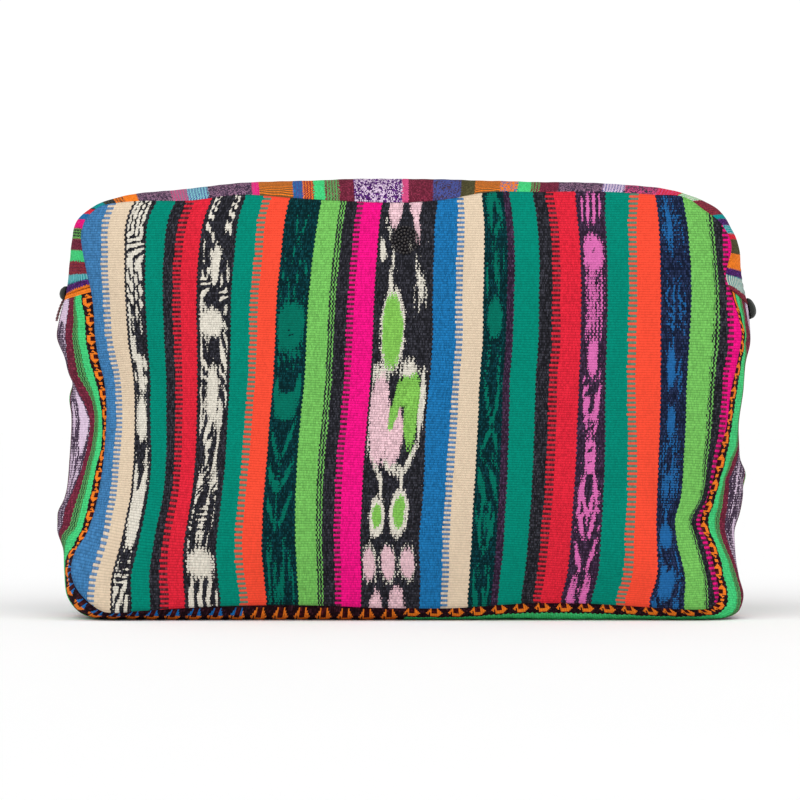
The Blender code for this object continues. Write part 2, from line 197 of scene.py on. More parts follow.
# Yarn colours, as seen on the bag in even light (red, green, blue out of 255)
YARNS = {
    "blue": (65, 123, 174),
    "deep_blue": (28, 112, 170),
    "cream": (224, 203, 176),
    "black": (38, 38, 44),
    "green": (0, 134, 114),
    "red": (222, 38, 58),
    "orange_red": (248, 78, 54),
    "light_green": (116, 190, 92),
    "magenta": (240, 18, 130),
    "ikat_white": (222, 216, 202),
    "teal_black": (4, 44, 48),
    "ikat_green": (2, 110, 92),
    "leaf_green": (128, 192, 84),
    "pale_pink": (228, 190, 198),
    "plum_black": (52, 36, 56),
    "ikat_pink": (218, 108, 176),
    "navy": (26, 36, 62),
    "ikat_blue": (34, 100, 160),
    "braid_orange": (252, 132, 38),
    "braid_black": (38, 16, 24),
    "braid_blue": (26, 118, 196),
    "mint": (72, 212, 128),
    "maroon": (112, 38, 58),
    "dusk": (70, 54, 74),
    "lilac": (226, 202, 226),
    "olive": (78, 74, 46),
    "purple": (76, 34, 100),
    "teal": (0, 150, 150),
    "brick": (150, 52, 58),
    "violet_blue": (74, 84, 150),
    "sky": (130, 196, 206),
    "rose": (214, 78, 130),
    "heather": (150, 112, 138),
    "sage": (92, 168, 96),
    "braid_red": (62, 18, 22),
}

# How flecked each yarn looks, from even (0) to heavily flecked (1); any other yarn is at 0.5
MOTTLE = {
    "cream": 0.12, "orange_red": 0.15, "green": 0.30, "red": 0.5, "magenta": 0.6, "blue": 0.7,
    "deep_blue": 0.8, "light_green": 0.6, "black": 0.9, "navy": 0.8, "mint": 0.6, "braid_black": 0.3,
}

# How a stripe mixes its second yarn in: not at all, as a comb edge, as tied marks, as broken lines
PLAIN, COMB, IKAT, TICKING = 0.0, 1.0, 0.34, 0.67

# The warp of the panels from left to right: where a stripe starts (in picture pixels, at the
# height CHART_ROW), its yarn, and for a mixed stripe its second yarn and how the two are mixed.
CHART_ROW = 300
PANEL_WARP_LEFT = [
    (60, "blue"), (102.5, "blue", "cream", COMB), (108.5, "cream"), (124.5, "black"),
    (126, "black", "ikat_white", IKAT), (143, "black"), (144.5, "green"), (162.5, "black"),
    (171, "black", "red", COMB), (179, "red"), (196, "black"), (198, "black", "ikat_white", IKAT),
    (229, "black"), (231, "green"), (249.5, "green", "orange_red", COMB), (257, "orange_red"),
    (276, "teal_black"), (277, "teal_black", "ikat_green", IKAT), (306, "teal_black"),
    (307.5, "light_green"), (328, "light_green", "black", TICKING), (335.5, "black"),
    (346, "black", "magenta", COMB), (353, "magenta"), (373, "black"),
    (375, "black", "ikat_white", IKAT),
]
PANEL_WARP_RIGHT = [
    (402, "black", "ikat_white", IKAT), (430.5, "black"), (432, "deep_blue"),
    (454.5, "deep_blue", "cream", COMB), (461.5, "cream"), (482.5, "teal_black"),
    (484.5, "teal_black", "ikat_green", IKAT), (506, "plum_black"), (512.5, "green"), (539, "black"),
    (551, "black", "red", COMB), (559.5, "red"), (581, "plum_black"),
    (583, "plum_black", "ikat_pink", IKAT), (605, "plum_black"), (606.5, "green"),
    (628.5, "green", "orange_red", COMB), (636, "orange_red"), (660, "navy"),
    (661.5, "navy", "ikat_blue", IKAT), (689, "navy"), (690.5, "light_green"),
    (713, "light_green", "black", TICKING), (718.3, "black"), (726, "black", "magenta", COMB),
    (732, "magenta"),
]
PANEL_ENDS = (60, 402, 760)              # left edge, middle and right edge of the chart

# How the warp leans: for each height in the picture, where sixteen stripe edges lie.
# The row at CHART_ROW gives the places that the warp lists above are written in.
LEAN_ROWS = np.array([
    (196, 118, 158, 196, 271, 321, 364, 438, 462, 508.5, 553, 575, 638, 654.5, 682, 701, 719),
    (212, 110, 149.5, 189, 266, 318, 361, 435.5, 463, 511, 556, 576.6, 636, 657, 685, 704, 720.5),
    (260, 106, 144, 180, 261, 311, 356, 433, 462, 514, 560, 580.6, 636, 659.5, 690, 711, 722.3),
    (300, 108, 144, 179, 257, 307, 353, 432, 461, 513, 560, 581, 636, 660, 691, 713, 726),
    (340, 111, 146, 180, 256, 305, 351, 432, 461, 512, 560, 580.5, 635, 660, 689, 711, 727.5),
    (380, 119, 149, 181, 254, 303, 349, 429, 458, 509, 557, 579, 634, 660, 686.5, 707.6, 721.8),
    (420, 121, 149, 181, 251, 299, 346, 425, 456, 508, 556, 577.3, 635, 659.6, 685.5, 705.3, 719.3),
    (460, 118, 150, 180, 248, 296, 342, 424, 453, 507, 554.5, 575.8, 636, 657.9, 683.4, 702.5, 712.7),
    (500, 114, 146, 176, 244, 294, 340, 422, 450, 505.3, 552, 573.2, 635, 656.6, 680, 697.4, 705),
    (520, 110, 142, 172, 242.5, 294, 339.5, 420, 449, 504, 550, 572, 634, 656, 675, 687.8, 695.5),
    (540, 106, 138, 168, 241, 294, 339, 418.5, 448, 503, 548.3, 570.6, 633, 656.3, 676.4, 692.3, 701.2),
    (580, 94, 129.5, 166, 244, 296, 340, 419.5, 447, 499, 543.8, 566, 630, 655.5, 685, 702.8, 711),
    (598, 92, 130, 167, 247, 297, 340, 419, 446, 497, 540.3, 561, 624, 649, 684, 703.2, 714),
])

# The tie-dyed bands of the panels. Each mark is a lens: its ends as (share across the band,
# picture row), its half width as a share of the band, and its strength, below 0 to blot out.
#      across_1 row_1 across_2 row_2 half strength
IKAT_BANDS = {
    "first_white": (126, 143, "main", [
        (0.13, 150, 0.13, 360, 0.072, 2.5), (0.37, 150, 0.36, 346, 0.066, 2.4),
        (0.62, 150, 0.62, 340, 0.068, 2.4), (0.87, 150, 0.87, 360, 0.068, 2.4),
        (0.10, 336, 0.10, 392, 0.060, 2.0), (0.90, 336, 0.90, 392, 0.060, 2.0),
        (0.30, 330, 0.32, 366, 0.050, 1.0), (0.72, 324, 0.70, 366, 0.050, 1.0),
        (0.50, 324, 0.50, 358, 0.130, -1.6), (0.52, 352, 0.52, 378, 0.24, 1.6),
        (0.60, 372, 0.58, 396, 0.32, 1.3), (0.50, 388, 0.50, 404, 0.30, 0.35),
        (0.52, 392, 0.52, 444, 0.42, 2.0), (0.15, 446, 0.20, 500, 0.10, 1.3),
        (0.82, 448, 0.85, 505, 0.14, 1.5), (0.50, 462, 0.55, 560, 0.46, 2.2),
        (0.47, 448, 0.47, 494, 0.13, -2.0), (0.50, 548, 0.50, 572, 0.20, -1.5),
        (0.12, 556, 0.10, 650, 0.070, 2.4), (0.34, 560, 0.32, 650, 0.066, 2.3),
        (0.58, 566, 0.56, 650, 0.066, 2.3), (0.82, 550, 0.80, 650, 0.075, 2.4)]),
    "second_white": (198, 229, "main", [
        (0.12, 180, 0.10, 254, 0.040, 1.9), (0.26, 180, 0.22, 240, 0.035, 1.6),
        (0.88, 180, 0.86, 254, 0.040, 1.9), (0.74, 180, 0.76, 240, 0.035, 1.6),
        (0.36, 224, 0.30, 262, 0.035, 1.6), (0.66, 226, 0.70, 262, 0.035, 1.6),
        (0.50, 240, 0.48, 290, 0.15, 1.7), (0.13, 252, 0.13, 326, 0.035, 1.8),
        (0.27, 262, 0.26, 320, 0.035, 1.6), (0.74, 262, 0.76, 320, 0.035, 1.6),
        (0.89, 252, 0.90, 326, 0.035, 1.8), (0.45, 286, 0.45, 312, 0.15, -1.6),
        (0.42, 306, 0.42, 340, 0.44, 1.8), (0.10, 290, 0.10, 336, 0.08, 1.0),
        (0.10, 330, 0.12, 392, 0.045, 1.8), (0.90, 316, 0.90, 392, 0.050, 1.9),
        (0.26, 336, 0.24, 390, 0.040, 1.6), (0.74, 330, 0.76, 390, 0.045, 1.6),
        (0.46, 334, 0.46, 372, 0.12, -1.8), (0.48, 362, 0.48, 428, 0.24, 2.0),
        (0.06, 380, 0.08, 440, 0.040, 1.6), (0.94, 370, 0.92, 440, 0.045, 1.6),
        (0.20, 386, 0.26, 432, 0.040, 1.4), (0.80, 386, 0.76, 432, 0.040, 1.4),
        (0.16, 408, 0.48, 484, 0.07, 1.4), (0.86, 408, 0.56, 484, 0.07, 1.4),
        (0.32, 408, 0.46, 452, 0.05, 1.6), (0.70, 408, 0.56, 452, 0.05, 1.6),
        (0.24, 464, 0.10, 556, 0.15, 1.5), (0.74, 464, 0.62, 556, 0.19, 1.6),
        (0.24, 484, 0.16, 548, 0.08, -1.8), (0.74, 484, 0.64, 548, 0.08, -1.8),
        (0.44, 500, 0.40, 552, 0.07, 1.2), (0.50, 546, 0.50, 580, 0.52, 1.8),
        (0.07, 560, 0.10, 626, 0.040, 1.9), (0.21, 566, 0.23, 626, 0.040, 1.9),
        (0.35, 566, 0.37, 626, 0.040, 1.8), (0.50, 570, 0.51, 626, 0.040, 1.9),
        (0.65, 566, 0.66, 626, 0.040, 1.8), (0.80, 566, 0.80, 626, 0.040, 1.9),
        (0.93, 560, 0.93, 626, 0.040, 1.8)]),
    "first_green": (277, 306, "main", [
        (0.38, 214, 0.52, 240, 0.045, 1.1), (0.78, 212, 0.56, 240, 0.045, 1.1),
        (0.52, 232, 0.34, 268, 0.045, 1.0), (0.56, 232, 0.76, 266, 0.045, 1.0),
        (0.33, 258, 0.42, 308, 0.045, 1.0), (0.70, 250, 0.54, 308, 0.045, 1.0),
        (0.14, 252, 0.08, 308, 0.035, 0.8), (0.88, 240, 0.92, 308, 0.035, 0.8),
        (0.50, 298, 0.50, 356, 0.60, 1.8), (0.50, 300, 0.50, 352, 0.022, -1.2),
        (0.14, 336, 0.14, 374, 0.045, 1.2), (0.32, 336, 0.32, 378, 0.045, 1.2),
        (0.50, 340, 0.50, 378, 0.045, 1.2), (0.68, 336, 0.68, 376, 0.045, 1.2),
        (0.86, 334, 0.86, 368, 0.045, 1.2), (0.10, 376, 0.12, 408, 0.11, 1.5),
        (0.92, 370, 0.88, 408, 0.12, 1.5), (0.52, 386, 0.50, 424, 0.46, 1.8),
        (0.48, 370, 0.48, 394, 0.26, -1.8), (0.02, 426, 0.42, 464, 0.09, 1.5),
        (0.98, 416, 0.46, 462, 0.09, 1.5), (0.00, 460, 0.40, 496, 0.11, 1.5),
        (0.98, 456, 0.48, 494, 0.11, 1.5), (0.45, 452, 0.46, 522, 0.045, 1.2),
        (0.03, 492, 0.42, 532, 0.09, 1.5), (0.96, 490, 0.50, 530, 0.09, 1.5),
        (0.22, 532, 0.10, 614, 0.08, 1.1), (0.30, 538, 0.42, 614, 0.06, 1.0),
        (0.74, 526, 0.60, 614, 0.05, 1.0), (0.80, 532, 0.94, 614, 0.07, 1.1),
        (0.52, 556, 0.52, 614, 0.04, 1.0), (0.30, 570, 0.26, 614, 0.04, 0.9)]),
    "flower_white": (375, 430, "main", [
        (0.06, 222, 0.07, 274, 0.020, 1.3), (0.13, 214, 0.13, 266, 0.020, 1.2),
        (0.20, 222, 0.20, 262, 0.020, 1.2), (0.29, 240, 0.27, 300, 0.030, 1.5),
        (0.62, 240, 0.60, 254, 0.03, 1.1), (0.34, 284, 0.33, 376, 0.238, 2.5),
        (0.74, 252, 0.72, 312, 0.025, 0.8), (0.82, 256, 0.80, 320, 0.030, 0.8),
        (0.92, 262, 0.94, 312, 0.025, 0.7), (0.86, 274, 0.86, 300, 0.025, 0.6),
        (0.14, 360, 0.18, 392, 0.17, 0.9), (0.66, 358, 0.72, 386, 0.22, 0.9),
        (0.94, 362, 0.93, 448, 0.060, 2.2), (0.04, 376, 0.04, 456, 0.04, 1.1),
        (0.04, 440, 0.30, 486, 0.05, 1.3), (0.94, 436, 0.66, 478, 0.05, 1.2),
        (0.30, 452, 0.60, 478, 0.16, 0.7), (0.29, 470, 0.28, 506, 0.028, 1.6),
        (0.66, 456, 0.65, 500, 0.028, 1.6), (0.26, 494, 0.26, 540, 0.15, 2.4),
        (0.64, 486, 0.64, 540, 0.18, 2.4), (0.13, 542, 0.13, 586, 0.15, 1.0),
        (0.47, 542, 0.47, 586, 0.17, 1.0), (0.83, 544, 0.83, 584, 0.17, 1.0)]),
    "flower_green": (375, 430, "leaf", [
        (0.33, 290, 0.33, 372, 0.20, 2.8), (0.80, 368, 0.76, 454, 0.14, 2.2),
        (0.56, 378, 0.40, 434, 0.09, 2.0), (0.66, 374, 0.62, 408, 0.20, 2.0),
        (0.26, 502, 0.26, 530, 0.10, 2.0), (0.65, 494, 0.65, 530, 0.13, 2.0)]),
    "flower_pink": (375, 430, "petal", [
        (0.26, 180, 0.28, 230, 0.15, 2.2), (0.62, 180, 0.66, 222, 0.13, 2.0),
        (0.68, 208, 0.75, 248, 0.06, 1.9), (0.18, 370, 0.22, 470, 0.21, 2.2),
        (0.52, 402, 0.46, 468, 0.18, 2.2), (0.13, 546, 0.13, 583, 0.12, 2.2),
        (0.47, 544, 0.47, 582, 0.14, 2.2), (0.83, 546, 0.83, 580, 0.14, 2.2),
        (0.25, 588, 0.25, 640, 0.14, 2.2), (0.62, 583, 0.62, 640, 0.17, 2.2)]),
    "second_green": (484.5, 506, "main", [
        (0.50, 186, 0.50, 238, 0.42, 1.4), (0.50, 202, 0.50, 228, 0.14, -1.2),
        (0.10, 232, 0.10, 302, 0.05, 1.0), (0.28, 232, 0.28, 302, 0.05, 0.9),
        (0.46, 232, 0.46, 302, 0.05, 0.9), (0.64, 232, 0.64, 302, 0.05, 0.9),
        (0.84, 232, 0.84, 302, 0.05, 1.0), (0.50, 294, 0.50, 340, 0.38, 1.9),
        (0.24, 336, 0.20, 388, 0.07, 1.2), (0.76, 336, 0.80, 388, 0.07, 1.2),
        (0.16, 372, 0.54, 432, 0.11, 1.5), (0.92, 372, 0.60, 432, 0.11, 1.5),
        (0.54, 424, 0.12, 456, 0.11, 1.4), (0.60, 424, 0.90, 456, 0.10, 1.4),
        (0.08, 440, 0.08, 530, 0.05, 1.1), (0.24, 446, 0.24, 522, 0.05, 1.0),
        (0.40, 452, 0.40, 514, 0.05, 0.9), (0.58, 452, 0.58, 514, 0.05, 0.9),
        (0.74, 446, 0.74, 522, 0.05, 1.0), (0.90, 440, 0.92, 530, 0.05, 1.1),
        (0.25, 492, 0.50, 538, 0.09, 1.2), (0.76, 492, 0.52, 538, 0.09, 1.2),
        (0.06, 508, 0.45, 556, 0.11, 1.4), (0.92, 508, 0.55, 556, 0.11, 1.4),
        (0.16, 556, 0.22, 626, 0.09, 1.3), (0.36, 562, 0.38, 626, 0.05, 1.0),
        (0.62, 562, 0.60, 626, 0.05, 1.0), (0.82, 556, 0.82, 626, 0.09, 1.3)]),
    "pink_band": (583, 605, "main", [
        (0.12, 190, 0.10, 224, 0.07, 1.4), (0.37, 186, 0.38, 228, 0.09, 1.6),
        (0.64, 186, 0.64, 228, 0.09, 1.6), (0.90, 190, 0.90, 222, 0.07, 1.4),
        (0.50, 232, 0.50, 276, 0.52, 1.9), (0.50, 236, 0.50, 262, 0.025, -0.8),
        (0.50, 256, 0.50, 350, 0.48, 0.55), (0.50, 334, 0.50, 380, 0.26, 1.7),
        (0.06, 366, 0.42, 448, 0.09, 1.4), (0.94, 366, 0.60, 448, 0.09, 1.4),
        (0.30, 376, 0.48, 434, 0.05, 1.1), (0.70, 376, 0.52, 434, 0.05, 1.1),
        (0.50, 434, 0.50, 480, 0.28, 1.7), (0.50, 440, 0.50, 470, 0.025, -0.8),
        (0.32, 468, 0.12, 512, 0.11, 1.4), (0.68, 468, 0.90, 512, 0.11, 1.4),
        (0.50, 474, 0.50, 496, 0.16, -1.6), (0.08, 498, 0.46, 546, 0.11, 1.5),
        (0.92, 498, 0.56, 546, 0.11, 1.5), (0.28, 488, 0.50, 524, 0.09, 1.4),
        (0.74, 488, 0.52, 524, 0.09, 1.4), (0.03, 482, 0.03, 556, 0.04, 1.1),
        (0.97, 482, 0.97, 556, 0.04, 1.1), (0.05, 538, 0.42, 576, 0.10, 1.4),
        (0.96, 536, 0.56, 576, 0.10, 1.4), (0.26, 572, 0.24, 626, 0.20, 1.1),
        (0.74, 572, 0.74, 626, 0.20, 1.1)]),
    "blue_band": (661.5, 689, "main", [
        (0.36, 186, 0.42, 262, 0.10, 1.5), (0.10, 200, 0.10, 250, 0.06, 0.7),
        (0.22, 196, 0.24, 250, 0.05, 0.6), (0.64, 196, 0.66, 250, 0.06, 0.7),
        (0.84, 206, 0.88, 256, 0.05, 0.6), (0.24, 262, 0.26, 340, 0.05, 1.0),
        (0.44, 268, 0.44, 346, 0.06, 1.2), (0.66, 258, 0.68, 340, 0.06, 1.0),
        (0.86, 280, 0.88, 350, 0.04, 0.7), (0.40, 342, 0.42, 392, 0.20, 1.7),
        (0.78, 352, 0.80, 402, 0.09, 0.9), (0.44, 402, 0.46, 440, 0.20, 1.5),
        (0.50, 430, 0.50, 512, 0.46, 0.62), (0.42, 446, 0.42, 476, 0.11, -1.4),
        (0.50, 492, 0.52, 530, 0.06, 1.6), (0.50, 522, 0.48, 550, 0.44, 1.6),
        (0.42, 556, 0.40, 604, 0.32, 1.9), (0.44, 552, 0.44, 576, 0.08, -1.6),
        (0.12, 530, 0.10, 600, 0.06, 0.8), (0.88, 536, 0.90, 600, 0.07, 0.8),
        (0.10, 594, 0.10, 626, 0.12, 0.9), (0.80, 594, 0.80, 626, 0.14, 0.9)]),
}

# The gusset's warp, in millimetres of cloth from either seam towards the middle.
GUSSET_WARP = [
    (0.0, "braid_black"), (5.0, "mint"), (9.4, "black"), (9.8, "sage"), (10.6, "black"), (11.1, "sage"),
    (11.9, "black"), (12.4, "sage"), (13.1, "maroon"), (17.4, "dusk", "lilac", IKAT), (30.0, "maroon"),
    (34.0, "black", "sage", TICKING), (37.0, "mint"), (41.5, "braid_orange", "maroon", COMB),
]
GUSSET_ENDS = (0.0, 60.0)
MIDDLE_THREAD = 54.0                     # the thread that shows midway between the seams
BRAID_WIDTH = 5.0
BRAID_PITCH = 8.6                        # length of one motif of the edge stripe
BRAID_STEP = 0.55                        # one float's width, in millimetres
BRAID_RIB = 0.53                         # and the step along it

# Tied marks of the gusset, as for the panels; its band begins and ends at these millimetres.
GUSSET_IKAT = (17.4, 29.8)
LEFT_DYE = [
    (0.30, 282, 0.30, 356, 0.30, 2.0), (0.62, 288, 0.62, 350, 0.22, 1.4), (0.45, 320, 0.45, 350, 0.35, -1.6),
    (0.22, 386, 0.26, 458, 0.20, 2.4), (0.72, 398, 0.72, 440, 0.10, 1.3), (0.20, 454, 0.28, 504, 0.07, 1.3),
    (0.50, 448, 0.62, 508, 0.06, 1.2), (0.80, 440, 0.75, 520, 0.07, 1.1), (0.35, 520, 0.35, 600, 0.25, 1.3),
]
RIGHT_DYE = [
    (0.30, 288, 0.30, 345, 0.22, 1.0), (0.70, 300, 0.62, 372, 0.15, 0.9), (0.45, 440, 0.30, 506, 0.04, 1.2),
    (0.72, 455, 0.60, 500, 0.035, 1.1), (0.58, 512, 0.75, 556, 0.16, 1.5), (0.70, 566, 0.60, 616, 0.10, 0.9),
]

# Where folds and the seam swallow or stretch the gusset's cloth: for each height of the seam in
# the picture, how many millimetres of wall pass before each of the warp's first stripes ends.
GUSSET_EDGES = (5.0, 9.4, 13.1, 17.4)
LEFT_DRAW = np.array([
    (285, 7.0, 12.0, 13.5, 18.5),
    (300, 7.6, 13.1, 14.4, 19.3),
    (320, 5.4, 10.7, 13.9, 20.4),
    (345, 6.0, 10.8, 15.5, 21.5),
    (375, 6.1, 11.6, 19.0, 33.0),
    (388, 5.2, 9.5, 14.0, 24.0),
    (400, 4.3, 7.3, 9.4, 16.3),
    (420, 3.0, 5.0, 7.7, 10.7),
    (445, 2.4, 5.8, 9.0, 12.0),
    (470, 5.0, 8.2, 12.4, 15.6),
    (500, 5.8, 9.8, 15.5, 24.0),
    (530, 5.0, 9.4, 15.8, 24.0),
    (548, 5.5, 18.0, 28.0, 36.0),
    (560, 17.0, 24.0, 32.0, 38.0),
    (602, 17.0, 24.0, 32.0, 38.0),
    (610, 9.5, 13.5, 17.0, 22.0),
])
RIGHT_DRAW = np.array([
    (290, 5.5, 9.4, 13.0, 17.0),
    (305, 5.5, 9.4, 13.0, 17.0),
    (320, 6.5, 9.0, 10.5, 22.0),
    (340, 7.0, 7.6, 8.2, 30.0),
    (352, 8.0, 14.0, 22.0, 34.0),
    (382, 9.0, 24.0, 30.0, 38.0),
    (430, 7.4, 22.0, 30.0, 38.0),
    (445, 8.1, 18.0, 22.0, 28.0),
    (460, 7.2, 10.9, 13.8, 19.0),
    (480, 5.0, 7.4, 8.6, 11.0),
    (500, 5.0, 7.8, 10.7, 14.5),
    (522, 5.0, 9.4, 13.1, 17.4),
    (540, 5.6, 9.7, 13.1, 18.0),
    (558, 7.0, 13.5, 18.0, 24.0),
    (575, 5.6, 13.5, 20.0, 28.0),
    (602, 5.8, 13.0, 17.0, 30.0),
    (610, 7.5, 11.5, 16.0, 22.0),
])

# Creases and puffs of the gusset
#    side, metres down from the zip, share across, reach along and across, depth, lean
GUSSET_FOLDS = [
    ("left", 0.040, -0.15, 0.0035, 0.45, -0.0016, 0.004),
    ("left", 0.047, 0.10, 0.0050, 0.50, 0.0010, 0.004),
    ("left", 0.098, -0.10, 0.0040, 0.50, 0.0012, -0.003),
    ("left", 0.068, 0.30, 0.0080, 0.30, -0.0014, 0.006),
    ("right", 0.070, 0.00, 0.0060, 0.50, -0.0012, -0.006),
    ("right", 0.082, -0.30, 0.0040, 0.35, -0.0012, 0.010),
    ("right", 0.103, 0.10, 0.0045, 0.60, -0.0014, 0.004),
    ("right", 0.020, 0.20, 0.0060, 0.40, -0.0010, -0.004),
]

# Motifs of the edge stripe, counted from the right end round to the left: count, and the column
# and row of the picture where it stands; and the run where the floats at the seam are blue.
MOTIFS = (
    (-1.4, 735, 305), (0.5, 741, 347), (4.5, 729, 440), (8.5, 713, 524), (11.5, 725, 589), (12.5, 716, 606),
    (16.5, 649, 612), (26.5, 435, 613), (29.5, 368, 613), (39.5, 154, 611), (46.5, 73, 550),
    (49.5, 94.5, 493), (53.5, 104, 413), (56.5, 96, 357), (60.0, 82, 292),
)
BLUE_RUN = (42.65, 48.6)
DOTLESS_RUN = (35.5, 47.5)               # sections under the base, where no dots show
ORANGE_END = 0.0022                      # the left end's orange stripe runs onto the gusset
BACK_SHARE = 0.4                         # how much of the drawn folds shows on the back half
BACK_ROWS = 45.0                         # and how far its tied marks are shifted

# The zip bands' warp crosses the band. Places are picture pixels along the seam, from the left
# end of the zip, up its side, over the top and down to the right end.
BAND_WARP_LEFT = [
    (-40, "braid_orange"), (1.4, "purple"), (7.6, "teal", "sky", COMB),
    (12.6, "brick", "maroon", TICKING), (25, "mint"), (36.5, "maroon"),
    (48.5, "light_green", "black", TICKING), (59, "magenta"), (68.5, "deep_blue"), (76, "red"),
    (82.5, "black"), (84.5, "teal"), (94, "olive", "black", TICKING),
    (105, "black", "braid_orange", TICKING), (115.5, "braid_orange"), (128.5, "dusk", "heather", IKAT),
    (164, "rose", "heather", TICKING), (178, "violet_blue", "sky", TICKING),
    (199, "dusk", "heather", IKAT), (243, "rose", "magenta", TICKING),
    (251, "braid_orange", "olive", COMB), (285, "deep_blue", "violet_blue", TICKING),
    (295, "braid_orange", "brick", TICKING), (306, "mint"), (317, "maroon", "sage", TICKING),
    (331, "maroon"), (346, "purple", "lilac", IKAT), (394, "rose"),
]
BAND_WARP_RIGHT = [
    (399, "rose"), (402, "maroon"), (426, "violet_blue", "dusk", IKAT), (454, "olive"),
    (469, "braid_orange", "olive", COMB), (493, "braid_orange", "deep_blue", IKAT), (512, "mint"),
    (524, "sage", "maroon", TICKING), (535, "maroon"), (552, "dusk", "heather", IKAT),
    (597, "violet_blue", "lilac", TICKING), (619, "dusk", "rose", IKAT), (652, "rose", "red", TICKING),
    (672, "mint", "ikat_white", TICKING), (690, "brick", "maroon", TICKING), (714, "teal"),
    (721, "purple"), (729, "sky", "teal", TICKING), (738, "red"), (745, "olive"), (760, "braid_orange"),
    (775, "purple"), (781.5, "teal", "ikat_white", COMB), (791, "brick", "maroon", TICKING),
]
BAND_ENDS = (-40, 399, 820)
BAND_LENGTH = 797                        # of the seam, in picture pixels
BAND_TILT = 0.04                         # how much the bands' stripes slope near the zip's ends
BAND_TILT_REACH = 60
SEAM_SHADE_SPAN = (166.0, 610.0)               # where painted shade darkens the crease at the front seam, in the same pixels
ROSETTE = (405, 240)                     # column and row of the rosette in the picture

# The cord end, two plies twisted together
CORD_LENGTH = 0.0112
CORD_ACROSS = -0.0045                    # in front of the zip
PLY_RADIUS = 0.00042
TWIST_RADIUS = 0.00027


def linear(colour):
    """A seen colour, out of 255, as the linear values that a shader takes."""
    shares = [part / 255 for part in colour]
    return tuple(s / 12.92 if s <= 0.04045 else ((s + 0.055) / 1.055) ** 2.4 for s in shares)


# Sections and walls

def smooth_between(low, high, slope_low, slope_high, span, share):
    """A cubic curve between two rows of a table, with the slopes at both."""
    square, cube = share ** 2, share ** 3
    return (low * (2 * cube - 3 * square + 1) + slope_low * span * (cube - 2 * square + share)
            + high * (3 * square - 2 * cube) + slope_high * span * (cube - square))


def through_rows(rows, places):
    """Smooth values at fractional row numbers of a closed table, for each of its columns."""
    count = len(rows)
    lengths = np.linalg.norm(np.roll(rows, -1, axis=0)[:, :4] - rows[:, :4], axis=1) / math.sqrt(2)
    index = np.floor(places).astype(int) % count
    ahead = (index + 1) % count
    share = (places - np.floor(places))[:, None]
    slopes = np.roll(rows, -1, axis=0) - np.roll(rows, 1, axis=0)
    slopes = slopes / (lengths + np.roll(lengths, 1))[:, None]
    span = lengths[index][:, None]
    return smooth_between(rows[index], rows[ahead], slopes[index], slopes[ahead], span, share)


REAL_SECTIONS = SECTIONS * np.array([WIDTH, HEIGHT, WIDTH, HEIGHT, 1.0, 1.0])
DENSE_PLACES = np.linspace(-LAP, 2 * LAP, 9601)
DENSE = through_rows(REAL_SECTIONS, DENSE_PLACES)
STEPS_ROUND = np.hypot(np.diff(DENSE[:, 0] + DENSE[:, 2]), np.diff(DENSE[:, 1] + DENSE[:, 3])) / 2
ROUND = np.concatenate(([0.0], np.cumsum(STEPS_ROUND)))
ROUND -= np.interp(0.0, DENSE_PLACES, ROUND)


def place_at(metres):
    """The place in the table that lies so many metres round the bag."""
    return np.interp(metres, ROUND, DENSE_PLACES)


def metres_at(place):
    """How many metres round the bag a place in the table lies."""
    return np.interp(place, DENSE_PLACES, ROUND)


def past_right_end(place):
    """Metres from the right end of the zip to a place, as the gusset's UV map counts them."""
    return float(metres_at(place) - metres_at(RIGHT_END))


def wall_points(places, across, lift=0.0):
    """The wall's outer face as a grid; across runs from -1 at the front to 1 at the back."""
    places = np.asarray(places, float)
    section = through_rows(REAL_SECTIONS, places)
    run = through_rows(REAL_SECTIONS, places + 0.05) - through_rows(REAL_SECTIONS, places - 0.05)
    run_x, run_z = run[:, 0] + run[:, 2], run[:, 1] + run[:, 3]
    length = np.hypot(run_x, run_z)
    out_x, out_z = (-run_z / length)[:, None], (run_x / length)[:, None]
    seam_x, seam_z, crown_x, crown_z, flat, dip = [column[:, None] for column in section.T]
    across = np.asarray(across, float)[None, :] * np.ones_like(seam_x)
    fullness = 1.0 - (np.maximum(0.0, np.abs(across) - flat) / (1.0 - flat)) ** WALL_CROWN
    near_zip = np.maximum(0.0, 1.0 - (np.abs(across) * WALL_HALF / TAPE_HALF) ** 2 / 2)
    raised = lift - ZIP_DIP * dip * near_zip
    return np.stack([
        seam_x + (crown_x - seam_x) * fullness + out_x * raised,
        across * WALL_HALF,
        np.maximum(0.0, seam_z + (crown_z - seam_z) * fullness) + out_z * raised,
    ], axis=-1)


def grid_normals(points):
    """Unit normals of a grid of points."""
    along = np.gradient(points, axis=0)
    across = np.gradient(points, axis=1)
    normal = np.cross(along, across)
    return normal / np.maximum(np.linalg.norm(normal, axis=-1, keepdims=True), 1e-12)


def soft_noise(x, y, seed):
    """Smooth, repeatable unevenness between about -1 and 1, from a few slow waves."""
    random = np.random.default_rng(seed)
    total = np.zeros_like(x)
    for octave in range(3):
        for _ in range(4):
            turn, phase = random.uniform(0, 2 * math.pi, 2)
            pace = 2 ** octave * random.uniform(0.7, 1.3)
            total += np.sin((x * math.cos(turn) + y * math.sin(turn)) * pace + phase) / 2 ** octave
    return total / 4.5


def pucker_wave(travelled, seed):
    """The rise and fall of the puckers along a seam, unevenly spaced."""
    pitch = bpy.context.scene.wet_bag.pucker_pitch
    return np.sin(travelled * 2 * math.pi / pitch + 1.6 * soft_noise(travelled * 40, travelled * 17, seed))


# The panels

